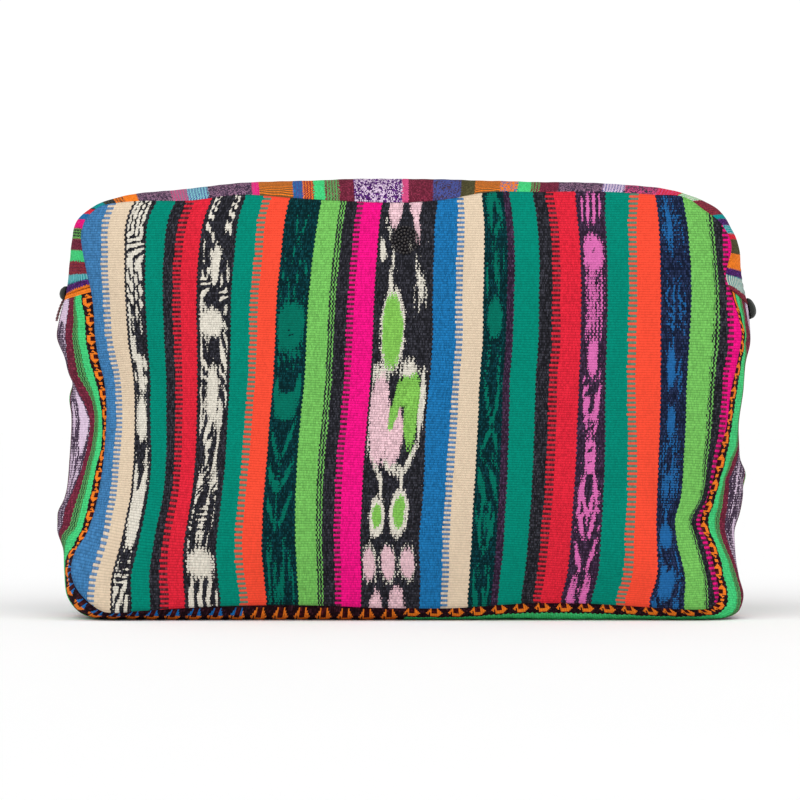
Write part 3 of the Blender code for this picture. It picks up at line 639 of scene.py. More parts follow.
def square_places(share, over, up):
    """Where the ray through a point of the unit square meets the outline, as a place."""
    edges = metres_at(np.array(CORNERS, float))
    safe = np.maximum(share, 1e-6)
    side = np.select(
        [(-over >= share - 1e-9), (up >= share - 1e-9), (over >= share - 1e-9)], [0, 1, 2], 3)
    travel = np.select([side == 0, side == 1, side == 2], [up, over, -up], -over) / safe
    start, stop = edges[:-1][side], edges[1:][side]
    return place_at(start + (stop - start) * (travel + 1) / 2)


def panel_points(side, columns, rows):
    """A pillowed panel as a grid from bottom left to top right, as seen from the front."""
    over, up = np.meshgrid(np.linspace(-1, 1, columns + 1), np.linspace(-1, 1, rows + 1), indexing="ij")
    share = np.maximum(np.abs(over), np.abs(up))
    places = square_places(share, over, up)
    seam = through_rows(REAL_SECTIONS, places.ravel())[:, :2].reshape(*share.shape, 2)
    middle = HEIGHT / 2
    x = seam[..., 0] * share
    z = middle + (seam[..., 1] - middle) * share
    level = np.minimum(1.0, np.abs(x) / (WIDTH / 2)) ** PANEL_CROWN
    upright = np.minimum(1.0, np.abs(z - middle) / (HEIGHT / 2)) ** PANEL_CROWN
    full = (1 - level) * (1 - upright) * (1 - share ** PANEL_WELT)
    dents = np.zeros_like(x)
    for dent_x, dent_z, reach, depth in DENTS:
        away = np.hypot(x - dent_x * WIDTH, z - dent_z * HEIGHT) / (reach * HEIGHT)
        dents += depth * PANEL_SWELL * np.exp(-2.0 * away ** 2)
    out = SEAM_Y + PANEL_SWELL * full - dents * full
    out += panel_relief(x, z, share, metres_at(places), side)
    return np.stack([x, side * out, z], axis=-1)


def panel_relief(x, z, share, travelled, side):
    """Small puckers at the seam and slow unevenness of the stuffed cloth."""
    sizes = bpy.context.scene.wet_bag
    from_seam = (1 - share) * HEIGHT / 2
    drawn = np.exp(-(from_seam / sizes.pucker_reach) ** 1.3)
    wave = pucker_wave(travelled, 3 + side)
    pucker = sizes.pucker_depth * drawn * wave * (0.6 + 0.4 * soft_noise(x * 30, z * 30, 11 + side))
    uneven = sizes.unevenness * soft_noise(x * 45, z * 45, 5 + side) * (1 - share ** 6)
    rolled = -ROLLED * np.exp(-from_seam / ROLLED)
    return pucker * (1 - np.exp(-from_seam / 0.002)) + uneven + rolled


def on_picture(points):
    """Where points show in the picture, as columns and rows of its pixels."""
    depth = CAMERA_DISTANCE + points[..., 1]
    column = PICTURE_MIDDLE + (points[..., 0] - CAMERA_X) / depth * FOCAL_PIXELS
    row = PICTURE_MIDDLE - (points[..., 2] - CAMERA_HEIGHT) / depth * FOCAL_PIXELS
    return column, row


def leaning_edges(row):
    """The charted stripe edges at each picture row, by a smooth curve through the chart."""
    heights = LEAN_ROWS[:, 0]
    row = np.clip(row, heights[0], heights[-1])
    index = np.clip(np.searchsorted(heights, row) - 1, 0, len(heights) - 2)
    slopes = np.gradient(LEAN_ROWS[:, 1:], heights, axis=0)
    span = (heights[index + 1] - heights[index])[:, None]
    share = (row - heights[index])[:, None] / span
    return smooth_between(LEAN_ROWS[index, 1:], LEAN_ROWS[index + 1, 1:],
                          slopes[index], slopes[index + 1], span, share)


def warp_place(column, row):
    """Which warp thread passes a point of the picture, as its column at CHART_ROW."""
    shape = column.shape
    column, row = column.ravel(), row.ravel()
    chart = LEAN_ROWS[LEAN_ROWS[:, 0] == CHART_ROW][0, 1:]
    edges = leaning_edges(row)
    side = 100.0
    edges = np.concatenate([edges[:, :1] - side, edges, edges[:, -1:] + side], axis=1)
    chart = np.concatenate([[chart[0] - side], chart, [chart[-1] + side]])
    index = np.clip((edges < column[:, None]).sum(axis=1) - 1, 0, len(chart) - 2)
    pick = np.arange(len(column))
    low, high = edges[pick, index], edges[pick, index + 1]
    found = chart[index] + (chart[index + 1] - chart[index]) * (column - low) / (high - low)
    return found.reshape(shape)


def lens_weights(level, share, row, marks):
    """Raise or blot out the weights of one dyed band by its list of lens marks."""
    inside = (share > -0.05) & (share < 1.05)
    for across_1, row_1, across_2, row_2, half, strength in marks:
        along = (row - (row_1 + row_2) / 2) / ((row_2 - row_1) / 2)
        centre = across_1 + (across_2 - across_1) * (along + 1) / 2
        lens = 1 - along ** 2 - ((share - centre) / half) ** 2
        if strength > 0:
            level = np.where(inside, np.maximum(level, strength * np.maximum(lens, -1)), level)
        else:
            level = np.where(inside & (lens > 0), np.minimum(level, strength * lens), level)
    return level


def ikat_weights(warp, row):
    """How strongly each dyed colour takes at each point: main, leaf and petal."""
    fields = {field: np.full(warp.shape, -1.0) for field in ("main", "leaf", "petal")}
    for first, last, field, marks in IKAT_BANDS.values():
        fields[field] = lens_weights(fields[field], (warp - first) / (last - first), row, marks)
    return tuple(fields.values())


def weft_place(points, column, row):
    """Distance along the warp; low down, the ribs tilt to cross it nearly squarely."""
    step = 1.0
    lean = ((warp_place(column, row + step) - warp_place(column, row - step))
            / (warp_place(column + step, row) - warp_place(column - step, row)))
    x = points[..., 0]
    middle = x.shape[0] // 2
    slope = (lean[1:] + lean[:-1]) / 2 * np.diff(x, axis=0)
    run = np.concatenate([np.zeros((1, x.shape[1])), np.cumsum(slope, axis=0)])
    run -= run[middle]
    reach = 30
    bell = np.exp(-(np.arange(-reach, reach + 1) / 14.0) ** 2)
    padded = np.pad(run, ((0, 0), (reach, reach)), mode="edge")
    even = np.stack([np.convolve(line, bell / bell.sum(), mode="valid") for line in padded])
    tilt = 0.55 * np.clip((row - 270) / 90, 0.0, 1.0)
    return points[..., 2] + tilt * even


# Meshes

def shown(name, mesh):
    """A mesh as an object of the scene."""
    made = bpy.data.objects.new(name, mesh)
    bpy.context.scene.collection.objects.link(made)
    return made


def sheet_mesh(name, points, uv, material, flip=False, tint=None):
    """A grid of points as a smooth sheet with a UV map and, where given, the channels of its tint."""
    columns, rows = points.shape[:2]
    number = np.arange(columns * rows).reshape(columns, rows)
    faces = np.stack([number[:-1, :-1], number[1:, :-1], number[1:, 1:], number[:-1, 1:]], axis=-1)
    faces = faces.reshape(-1, 4)
    if flip:
        faces = faces[:, ::-1]
    mesh = bpy.data.meshes.new(name)
    mesh.from_pydata(points.reshape(-1, 3).tolist(), [], faces.tolist())
    layer = mesh.uv_layers.new(name="weave")
    corner = np.zeros(len(mesh.loops), dtype=np.int32)
    mesh.loops.foreach_get("vertex_index", corner)
    layer.data.foreach_set("uv", uv.reshape(-1, 2)[corner].astype(np.float32).ravel())
    if tint is not None:
        attribute = mesh.color_attributes.new("ikat", "FLOAT_COLOR", "POINT")
        attribute.data.foreach_set("color", np.stack(tint, axis=-1).astype(np.float32).ravel())
    mesh.shade_smooth()
    mesh.materials.append(material)
    return shown(name, mesh)


def smooth_form(name, shape, material):
    """A form built point by point, as an object in one material."""
    mesh = bpy.data.meshes.new(name)
    shape.to_mesh(mesh)
    shape.free()
    mesh.shade_smooth()
    mesh.materials.append(material)
    return shown(name, mesh)


def give_wall(thing, thickness=SHEET):
    """The cloth's own thickness, laid inwards."""
    wall = thing.modifiers.new("cloth", "SOLIDIFY")
    wall.thickness = thickness
    wall.offset = -1.0
    wall.use_rim = True


def dress(thing, slot, *nodes):
    """Hide the solids that a finished piece stands for, and let it ride on the bag's body."""
    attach(thing, "root")
    if nodes:
        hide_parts(*nodes)


# Shader building

class Value:
    """A number inside a shader. Arithmetic and comparisons on it add math nodes."""

    def __init__(self, tree, socket):
        self.tree, self.socket = tree, socket

    def __add__(self, other):
        return self.tree.math("ADD", self, other)

    def __sub__(self, other):
        return self.tree.math("SUBTRACT", self, other)

    def __rsub__(self, other):
        return self.tree.math("SUBTRACT", other, self)

    def __mul__(self, other):
        return self.tree.math("MULTIPLY", self, other)

    def __truediv__(self, other):
        return self.tree.math("DIVIDE", self, other)

    def __mod__(self, other):
        return self.tree.math("MODULO", self, other)

    def __pow__(self, other):
        return self.tree.math("POWER", self, other)

    def __gt__(self, other):
        return self.tree.math("GREATER_THAN", self, other)

    def __lt__(self, other):
        return self.tree.math("LESS_THAN", self, other)

    def __abs__(self):
        return self.tree.math("ABSOLUTE", self)

    __radd__, __rmul__ = __add__, __mul__

    def floor(self):
        """The whole number at or below the value."""
        return self.tree.math("FLOOR", self)

    def fract(self):
        """What the value has beyond that whole number."""
        return self.tree.math("FRACT", self)

    def wave(self):
        """1 midway between whole numbers and 0 at them, rounded."""
        return abs(self.tree.math("SINE", self * math.pi))

    def between(self, low, high):
        """1 where the value lies between two others, else 0."""
        return (self > low) * (self < high)

    def stepped(self, step):
        """The middle of the step that the value lies in."""
        return ((self / step).floor() + 0.5) * step


class Tree:
    """A material's nodes, with short calls for those that the finishes are made of."""

    def __init__(self, name):
        self.material = bpy.data.materials.new(name)
        self.material.use_nodes = True
        self.nodes = self.material.node_tree.nodes
        self.links = self.material.node_tree.links
        self.shader = self.nodes["Principled BSDF"]

    def add(self, kind, **settings):
        """A new node with its settings."""
        node = self.nodes.new("ShaderNode" + kind)
        for setting, value in settings.items():
            setattr(node, setting, value)
        return node

    def put(self, socket, value):
        """Join a value to a socket, or set a constant on it."""
        if isinstance(value, Value):
            value = value.socket
        if isinstance(value, bpy.types.NodeSocket):
            self.links.new(value, socket)
        else:
            socket.default_value = value

    def surface(self, inputs):
        """Join or set the finish's inputs by name."""
        for name, value in inputs.items():
            self.put(self.shader.inputs[name], value)

    def math(self, operation, *values, clamp=False):
        """One math node."""
        node = self.add("Math", operation=operation, use_clamp=clamp)
        for socket, value in zip(node.inputs, values):
            self.put(socket, value)
        return Value(self, node.outputs[0])

    def mix(self, share, first, second, kind="MIX"):
        """Two colours blended; a constant one is given as three linear numbers."""
        node = self.add("Mix", data_type="RGBA", blend_type=kind, clamp_factor=True)
        for number, value in ((0, share), (6, first), (7, second)):
            self.put(node.inputs[number], (*value, 1.0) if isinstance(value, tuple) else value)
        return node.outputs[2]

    def shaded(self, colour, value):
        """A colour made lighter or darker by a value."""
        grey = self.add("CombineColor")
        for socket in grey.inputs:
            self.put(socket, value)
        return self.mix(1.0, colour, grey.outputs[0], "MULTIPLY")

    def ramp(self, share, stops):
        """A stepped colour ramp; each stop is (place, linear colour, alpha)."""
        node = self.add("ValToRGB")
        band = node.color_ramp
        band.interpolation = "CONSTANT"
        for index, (place, colour, alpha) in enumerate(stops):
            stop = band.elements[index] if index < 2 else band.elements.new(place)
            stop.position = place
            stop.color = (*colour, alpha)
        self.put(node.inputs[0], share)
        return node.outputs[0], Value(self, node.outputs[1])

    def vector(self, x, y, z=0.0):
        """Three values as one vector."""
        node = self.add("CombineXYZ")
        for socket, value in zip(node.inputs, (x, y, z)):
            self.put(socket, value)
        return node.outputs[0]

    def parts(self, vector):
        """The three parts of a vector."""
        node = self.add("SeparateXYZ")
        self.put(node.inputs[0], vector)
        return [Value(self, socket) for socket in node.outputs]

    def place(self):
        """The point on the object itself."""
        return self.add("TexCoord").outputs["Object"]

    def uv(self):
        """Place across and along the weave."""
        return self.parts(self.add("UVMap", uv_map="weave").outputs[0])[:2]

    def attribute(self, name):
        """The four channels of a colour attribute."""
        node = self.add("Attribute", attribute_name=name)
        parts = self.add("SeparateColor")
        self.put(parts.inputs[0], node.outputs["Color"])
        return [Value(self, socket) for socket in (*parts.outputs, node.outputs["Alpha"])]

    def noise(self, vector, scale=1.0, detail=2.0, rough=0.5):
        """Soft cloudy noise about one half."""
        node = self.add("TexNoise")
        for name, value in (("Vector", vector), ("Scale", scale), ("Detail", detail), ("Roughness", rough)):
            self.put(node.inputs[name], value)
        return Value(self, node.outputs["Fac"])

    def white(self, x, y, z):
        """A random number for each place."""
        node = self.add("TexWhiteNoise")
        self.put(node.inputs["Vector"], self.vector(x, y, z))
        return Value(self, node.outputs["Value"])

    def bump(self, height, distance, strength):
        """Let a height tilt the finish's shading."""
        node = self.add("Bump")
        for name, value in (("Distance", distance), ("Strength", strength), ("Height", height)):
            self.put(node.inputs[name], value)
        self.links.new(node.outputs[0], self.shader.inputs["Normal"])


def yarn(name):
    """A yarn's colour as the user has it."""
    return tuple(part * DYE_DEPTH for part in getattr(bpy.context.scene.wet_bag_yarns, name))


def warp_stops(warp, low, high):
    """A warp list as two ramps' stops: yarns with their flecks, and second yarns with their mixing."""
    ground, second = [], []
    for start, first, *mixed in warp:
        other, way = mixed or (first, PLAIN)
        share = (start - low) / (high - low)
        ground.append((share, yarn(first), MOTTLE.get(first, 0.5)))
        second.append((share, yarn(other), way))
    return ground, second


def woven(name, unit, warps, ends, charted=False, figured=None):
    """Warp-faced cloth. The UV map gives the place across the warp and the way along it.

    unit is the length of one step across in metres, ends the places where the warp lists begin and
    end, and charted says that the tied marks come from the mesh's own colour attribute.
    """
    tree = Tree(name)
    across, along = tree.uv()
    ribs = along / RIB
    pick = ribs.floor()
    odd_pick = (pick + COUNT_FROM) % 2.0

    # stripe edges wander a little and step to and fro with each pick
    drift = tree.noise(tree.vector(across * (unit / THREAD * 0.3), ribs * 0.12), 1.0, 1.0)
    wander = (drift - 0.5) * (1.2 * PIXEL / unit)
    zigzag = (odd_pick - 0.5) * (0.8 * PIXEL / unit)
    shifted = across + (wander + zigzag)
    threads = shifted / (THREAD / unit)
    fine = tree.white(threads.floor(), pick, 1.0)
    short = tree.white(0.0, pick, 3.0) * (1.4 * PIXEL / unit)
    ground, mottle, second, way = warp_colours(tree, shifted, short, warps, ends)

    # comb bars: whole picks change colour, a little muddied; ticking: broken lines of single threads
    comb = 0.12 + odd_pick * 0.76
    tick = (threads / 2.8).fract() - fine * 0.35 > 0.22
    ikat_here = tree.math("COMPARE", way, IKAT, 0.1)
    # the ragged edges also carry painted shade in the rib valleys
    ragged = ragged_edge_and_valley_shade(tree, shifted / (STRAND / unit), ribs, fine)
    if charted:
        main, leaf, petal, _ = tree.attribute("ikat")
        tied = main + ragged > 0.12
    else:
        slow = tree.noise(tree.vector(threads * 0.2, ribs * 0.09), 1.0, 2.0)
        tied = (slow - 0.5) * 2.6 + (fine - 0.5) * 1.6 + ragged > 0.0

    marked = tree.math("ADD", (way > 0.85) * comb,
                       tree.math("COMPARE", way, TICKING, 0.1) * tick + ikat_here * tied, clamp=True)
    colour = tree.mix(marked, ground, second)
    if charted:
        colour = tree.mix((petal + ragged > 0.18) * ikat_here, colour, yarn("pale_pink"))
        colour = tree.mix((leaf + ragged > 0.18) * ikat_here, colour, yarn("leaf_green"))
    if figured:
        colour = figured(tree, across, along, colour)
    weave_surface(tree, colour, mottle * (1.0 - marked * 0.45), threads, ribs)
    return tree.material


def ragged_edge_and_valley_shade(tree, strands, ribs, fine):
    """How tied marks feather strand by strand along the warp, parted by thin dark lines, with painted shade
    where the dark ground shows in the rib valleys.
    """
    strand = strands.floor()
    streak = tree.noise(tree.vector(strand * 7.3, ribs * 0.08), 1.0, 2.0, 0.6)
    every_other = (strand + COUNT_FROM) % 2.0
    ragged = (streak - 0.5) * 1.8 + (fine - 0.5) * 0.7 + (every_other - 0.5) * 0.35
    parting = abs(strands.fract() - 0.5) ** 2.0 * 1.2
    # painted shade: the dark ground yarn is let through in the valleys between ribs
    valley_shade = (1.0 - ribs.wave()) * 0.45
    return ragged - (parting + valley_shade)


def warp_colours(tree, across, short, warps, ends):
    """The yarn at a place across the warp, its flecks, its second yarn, and how the two are mixed.

    short holds the second yarn back from where it would start, so that comb bars end unevenly.
    """
    found = None
    for warp, start, stop in zip(warps, ends, ends[1:]):
        ground_stops, second_stops = warp_stops(warp, start, stop)
        ground, mottle = tree.ramp((across - start) / (stop - start), ground_stops)
        second, way = tree.ramp((across - short - start) / (stop - start), second_stops)
        if found is None:
            found = ground, mottle, second, way
            continue
        beyond = across > start
        kept = 1.0 - beyond
        found = (tree.mix(beyond, found[0], ground), found[1] * kept + mottle * beyond,
                 tree.mix(beyond, found[2], second), found[3] * kept + way * beyond)
    return found


def weave_surface(tree, colour, mottle, threads, ribs):
    """Paint shade into the valleys between ribs, add uneven dye and single threads, and raise them as bumps.
    """
    thread = threads.floor()
    # the rib profile is both the bump's height and painted shade in the valleys between ribs
    rib_height_and_shade = ribs.wave() ** 0.55
    dye = tree.noise(tree.vector(threads * 0.05, ribs * 0.03), 1.0, 3.0)
    spun = tree.white(thread, (ribs * 0.4).floor(), 5.0)
    speck = tree.white(thread, ribs.floor(), 9.0)
    value = 0.78 - mottle * 0.13
    # the first term is painted shade in the rib valleys; dye, spun and speck are the yarn's own unevenness
    for part, middle, even, flecked in (
            (rib_height_and_shade, 0.0, 0.22, 0.17), (dye, 0.5, 0.16, 0.0),
            (spun, 0.5, 0.03, 0.12), (speck, 0.5, 0.05, 0.55)):
        value = value + (part - middle) * (even + mottle * flecked)

    # black yarns are greyed by light fibre flecks, which are weighted to the rib crowns as a painted
    # highlight
    grey = tree.add("RGBToBW")
    tree.put(grey.inputs[0], colour)
    dark = tree.math("SUBTRACT", 1.0, Value(tree, grey.outputs[0]) * 14.0, clamp=True)
    value = value + dark * (speck ** 3.0 * rib_height_and_shade * 2.6 - 0.28)
    tree.surface({"Base Color": tree.shaded(colour, value), "Roughness": 0.92, "Specular IOR Level": 0.06})
    tree.bump(rib_height_and_shade * (0.5 + mottle * 0.5) + speck * (mottle * 0.25), 0.00022, 0.8)


def braid(tree, across, along, colour):
    """The figured edge stripe: orange floats in bowls that open to the seam, with dots between.

    Along one run the floats nearest the seam are blue, and the left end is plain orange. Sizes are
    in millimetres, like the place across.
    """
    place = across.stepped(BRAID_STEP)
    *_, motifs = tree.attribute("ikat")
    cell = ((motifs.fract() - 0.5) * BRAID_PITCH).stepped(BRAID_RIB)
    reach = abs(cell)
    side = abs(place - 2.45)
    bowl = (reach / 3.2 + side / 3.9 < 0.95) * (side < 1.9)
    heart = (reach < 0.9) * (place < 2.6)
    notch = (abs(cell - 1.85) < 0.2) * (place > 2.2)
    floats = bowl * (1.0 - tree.math("MAXIMUM", heart, notch))
    dots = (reach > BRAID_PITCH / 2 - 0.8) * (abs(place - 2.7) < 0.85)
    on_side = 1.0 - along.between(*map(past_right_end, DOTLESS_RUN))
    floats = tree.math("MAXIMUM", floats, dots * on_side)
    inside = across < BRAID_WIDTH
    blue = along.between(*map(past_right_end, BLUE_RUN)) * (place < 2.3)
    float_colour = tree.mix(blue, yarn("braid_orange"), yarn("braid_blue"))
    colour = tree.mix(heart * bowl * inside, colour, yarn("braid_red"))
    colour = tree.mix(floats * inside, colour, float_colour)
    return tree.mix(along > past_right_end(LAP) - ORANGE_END, colour, yarn("braid_orange"))


def seam_crease_shade(tree, across, along, colour):
    """Painted shade: a thin dark line in the crease where a band is sewn to a panel over the crest."""
    # painted shade: the band's cloth within one sheet's width of the seam is mixed towards dark maroon
    line = (along < SHEET) * across.between(*SEAM_SHADE_SPAN)
    return tree.mix(line * 0.75, colour, yarn("maroon"))


def plain_cloth(name, colour, scale=1.0, sheen=0.1):
    """Fine dark cloth or tape in one colour, woven diagonally, with painted shade in the grooves of the
    weave.
    """
    tree = Tree(name)
    x, y, z = tree.parts(tree.place())
    pitch = 0.0007 * scale
    weave = ((x + z + y) * (1.0 / pitch)).wave()
    cross = ((x - y) * (1.0 / pitch)).wave()
    grain = tree.noise(tree.place(), 900.0, 3.0)
    # painted shade: the colour is darkened in the grooves of the diagonal weave; the grain is the cloth's
    # own uneven tone
    tree.surface({"Base Color": tree.shaded(colour, 0.6 + (weave + grain) * 0.4),
                  "Roughness": 0.85, "Sheen Weight": sheen})
    tree.bump(weave + (cross + grain), 0.00012, 0.8)
    return tree.material


def glossy(name, colour, roughness, metallic):
    """Lacquered metal, nylon or glass beads, with faint wear in the gloss."""
    tree = Tree(name)
    wear = tree.noise(tree.place(), 1400.0, 3.0)
    worn = tuple(part * 1.6 + 0.01 for part in colour)
    tree.surface({"Base Color": tree.mix(wear * 0.4, colour, worn),
                  "Roughness": roughness - 0.08 + wear * 0.2, "Metallic": metallic})
    return tree.material


# Geometry Nodes that repeat a small form along a path or over points

def repeat_tree(name, form, along_path):
    """A node tree that sets a rounded form along a path, or on each point of a mesh."""
    group = bpy.data.node_groups.new(name, "GeometryNodeTree")
    nodes, links = group.nodes, group.links
    group.interface.new_socket("Geometry", in_out="OUTPUT", socket_type="NodeSocketGeometry")
    for label, kind in (("Geometry", "Geometry"), ("Spacing", "Float"), ("Length", "Float"),
                        ("Width", "Float"), ("Height", "Float"), ("Unevenness", "Float"),
                        ("Finish", "Material")):
        group.interface.new_socket(label, in_out="INPUT", socket_type="NodeSocket" + kind)
    entry, leave = nodes.new("NodeGroupInput"), nodes.new("NodeGroupOutput")
    shape = nodes.new("GeometryNodeMeshUVSphere")
    shape.inputs["Segments"].default_value, shape.inputs["Rings"].default_value = form
    shape.inputs["Radius"].default_value = 0.5
    size = nodes.new("ShaderNodeCombineXYZ")
    for index, label in enumerate(("Length", "Width", "Height")):
        links.new(entry.outputs[label], size.inputs[index])
    sized = nodes.new("GeometryNodeTransform")
    links.new(shape.outputs["Mesh"], sized.inputs["Geometry"])
    links.new(size.outputs[0], sized.inputs["Scale"])
    place = nodes.new("GeometryNodeInstanceOnPoints")
    links.new(sized.outputs[0], place.inputs["Instance"])
    if along_path:
        to_curve = nodes.new("GeometryNodeMeshToCurve")
        even = nodes.new("GeometryNodeResampleCurve")
        even.mode = "LENGTH"
        tangent = nodes.new("GeometryNodeInputTangent")
        turn = nodes.new("FunctionNodeAlignRotationToVector")
        turn.axis = "X"
        links.new(entry.outputs["Geometry"], to_curve.inputs["Mesh"])
        links.new(to_curve.outputs["Curve"], even.inputs["Curve"])
        links.new(entry.outputs["Spacing"], even.inputs["Length"])
        links.new(even.outputs["Curve"], place.inputs["Points"])
        links.new(tangent.outputs[0], turn.inputs["Vector"])
        level = nodes.new("FunctionNodeAlignRotationToVector")
        level.axis = "Y"
        level.pivot_axis = "X"
        level.inputs["Vector"].default_value = (0.0, 1.0, 0.0)
        links.new(turn.outputs[0], level.inputs["Rotation"])
        links.new(level.outputs[0], place.inputs["Rotation"])
    else:
        links.new(entry.outputs["Geometry"], place.inputs["Points"])
    vary = nodes.new("FunctionNodeRandomValue")
    vary.data_type = "FLOAT"
    vary.inputs["Seed"].default_value = 7
    spread = nodes.new("ShaderNodeMath")
    spread.operation = "SUBTRACT"
    spread.inputs[0].default_value = 1.0
    links.new(entry.outputs["Unevenness"], spread.inputs[1])
    links.new(spread.outputs[0], vary.inputs[2])
    vary.inputs[3].default_value = 1.0
    links.new(vary.outputs[1], place.inputs["Scale"])
    real = nodes.new("GeometryNodeRealizeInstances")
    finish = nodes.new("GeometryNodeSetMaterial")
    smooth = nodes.new("GeometryNodeSetShadeSmooth")
    links.new(place.outputs[0], real.inputs[0])
    links.new(real.outputs[0], smooth.inputs[0])
    links.new(smooth.outputs[0], finish.inputs["Geometry"])
    links.new(entry.outputs["Finish"], finish.inputs["Material"])
    links.new(finish.outputs[0], leave.inputs[0])
    return group


def repeated(name, points, edges, form, along_path, material, **sizes):
    """Run a repeat tree over points joined by edges, and keep the result as a plain mesh."""
    guide = bpy.data.meshes.new(name + "_guide")
    guide.from_pydata([tuple(point) for point in points], edges, [])
    carrier = shown(name + "_guide", guide)
    group = repeat_tree(name, form, along_path)
    modifier = carrier.modifiers.new("repeat", "NODES")
    modifier.node_group = group
    values = {**sizes, "Finish": material}
    for socket in group.interface.items_tree:
        if socket.item_type == "SOCKET" and socket.in_out == "INPUT" and socket.name in values:
            modifier[socket.identifier] = values[socket.name]
    graph = bpy.context.evaluated_depsgraph_get()
    mesh = bpy.data.meshes.new_from_object(carrier.evaluated_get(graph))
    bpy.data.objects.remove(carrier, do_unlink=True)
    if not mesh.polygons:
        raise RuntimeError(f"{name} came out empty")
    return shown(name, mesh)


def paths_as_mesh(runs):
    """Points and edges of several open paths."""
    points, edges = [], []
    for run in runs:
        start = len(points)
        points += [tuple(point) for point in run]
        edges += [(number, number + 1) for number in range(start, start + len(run) - 1)]
    return points, edges


# Properties

class WetBagSizes(PropertyGroup):
    """Sizes of the cloth's relief and of the small repeated forms."""

    pucker_depth: FloatProperty(
        name="Pucker depth", description="How far the cloth is drawn up and down along the seams",
        default=0.00028, min=0.0, max=0.002, unit="LENGTH", precision=5)
    pucker_pitch: FloatProperty(
        name="Pucker pitch", description="Distance from one pucker to the next",
        default=0.0085, min=0.002, max=0.05, unit="LENGTH", precision=4)
    pucker_reach: FloatProperty(
        name="Pucker reach", description="How far the puckers run in from a seam",
        default=0.007, min=0.001, max=0.05, unit="LENGTH", precision=4)
    unevenness: FloatProperty(
        name="Unevenness", description="Slow rise and fall of the stuffed cloth",
        default=0.0006, min=0.0, max=0.005, unit="LENGTH", precision=4)
    stitch_length: FloatProperty(
        name="Stitch length", description="Visible length of one stitch beside the zip",
        default=0.0024, min=0.001, max=0.006, unit="LENGTH", precision=4)
    bead: FloatProperty(
        name="Bead", description="Diameter of one seed bead of the rosette",
        default=0.0013, min=0.0005, max=0.004, unit="LENGTH", precision=4)
    bead_rings: IntProperty(
        name="Bead rings", description="Rings of beads round the middle one", default=4, min=0, max=6)


def yarn_properties():
    """One colour property for each yarn."""
    return {
        name: FloatVectorProperty(
            name=name.replace("_", " ").capitalize(), description="Colour of this yarn",
            subtype="COLOR", size=3, min=0.0, max=1.0, default=linear(colour))
        for name, colour in YARNS.items()
    }


class WetBagYarns(PropertyGroup):
    """The yarns that the cloth is woven from."""

    __annotations__ = yarn_properties()


# Operators

def panel_piece(name, node, side):
    """A front or back panel in the charted stripes; the back one is the same cloth turned over."""
    points = panel_points(side, *PANEL_GRID)
    seen = points * np.array([1.0, float(-side), 1.0])
    if side > 0:
        seen = seen * np.array([1.0, 1.0, -1.0]) + np.array([0.0, 0.0, HEIGHT])
    column, row = on_picture(seen)
    warp = warp_place(column, row)
    weave = np.stack([warp, weft_place(seen, column, row)], axis=-1)
    material = bpy.data.materials.get("striped_panel_cloth") or woven(
        "striped_panel_cloth", PIXEL, (PANEL_WARP_LEFT, PANEL_WARP_RIGHT), PANEL_ENDS, charted=True)
    made = sheet_mesh(name, points, weave, material, flip=side > 0,
                      tint=(*ikat_weights(warp, row), np.ones_like(warp)))
    give_wall(made)
    dress(made, "panel_cloth", node)


def cloth_folds(points, travelled, across):
    """Press the creases and push out the puffs of the gusset."""
    normal = grid_normals(points)
    lift = np.zeros(points.shape[:2])
    for side, down, middle, reach, reach_across, depth, lean in GUSSET_FOLDS:
        centre = travelled[-1] - down if side == "left" else travelled[0] + down
        away = (travelled[:, None] - centre - lean * (across[None, :] - middle)) / reach
        off = (across[None, :] - middle) / reach_across
        lift += depth * np.exp(-away ** 2 - off ** 2)
    return points + normal * lift[..., None]


class WETBAG_OT_front_panel(Operator):
    """Weave the front panel"""

    bl_idname = "wetbag.front_panel"
    bl_label = "Front panel"

    def execute(self, context):
        panel_piece("front_panel_cloth", "front_panel", -1)
        return {"FINISHED"}


class WETBAG_OT_back_panel(Operator):
    """Weave the back panel"""

    bl_idname = "wetbag.back_panel"
    bl_label = "Back panel"

    def execute(self, context):
        panel_piece("back_panel_cloth", "back_panel", 1)
        return {"FINISHED"}


def wall_relief(points, travelled, across, seed, edge_shares):
    """Seam puckers and slow unevenness on a wall sheet."""
    sizes = bpy.context.scene.wet_bag
    normal = grid_normals(points)
    around = travelled[:, None] * np.ones((1, len(across)))
    over = across[None, :] * np.ones((len(travelled), 1)) * WALL_HALF
    lift = sizes.unevenness * soft_noise(around * 60, over * 60, seed)
    for edge in edge_shares:
        from_edge = np.abs(across[None, :] - edge) * WALL_HALF
        drawn = np.exp(-(from_edge / sizes.pucker_reach) ** 1.3)
        wave = pucker_wave(around, seed + 1)
        lift = lift * (1 - np.exp(-from_edge / 0.004))
        lift += sizes.pucker_depth * drawn * wave * (1 - np.exp(-from_edge / 0.002))
        if abs(edge) == 1:
            lift -= ROLLED * np.exp(-from_edge / ROLLED)
    points = points + normal * lift[..., None]
    points[..., 2] = np.maximum(points[..., 2], 0.0)
    return points


def cloth_distance(points):
    """Length of cloth from the first row across, in metres."""
    steps = np.linalg.norm(np.diff(points, axis=1), axis=-1)
    return np.concatenate([np.zeros((len(points), 1)), np.cumsum(steps, axis=1)], axis=1)


def base_share(height):
    """1 where the wall is under the bag, fading to 0 up the sides."""
    return np.clip(1.0 - (height / HEIGHT - 0.10) / 0.10, 0.0, 1.0)


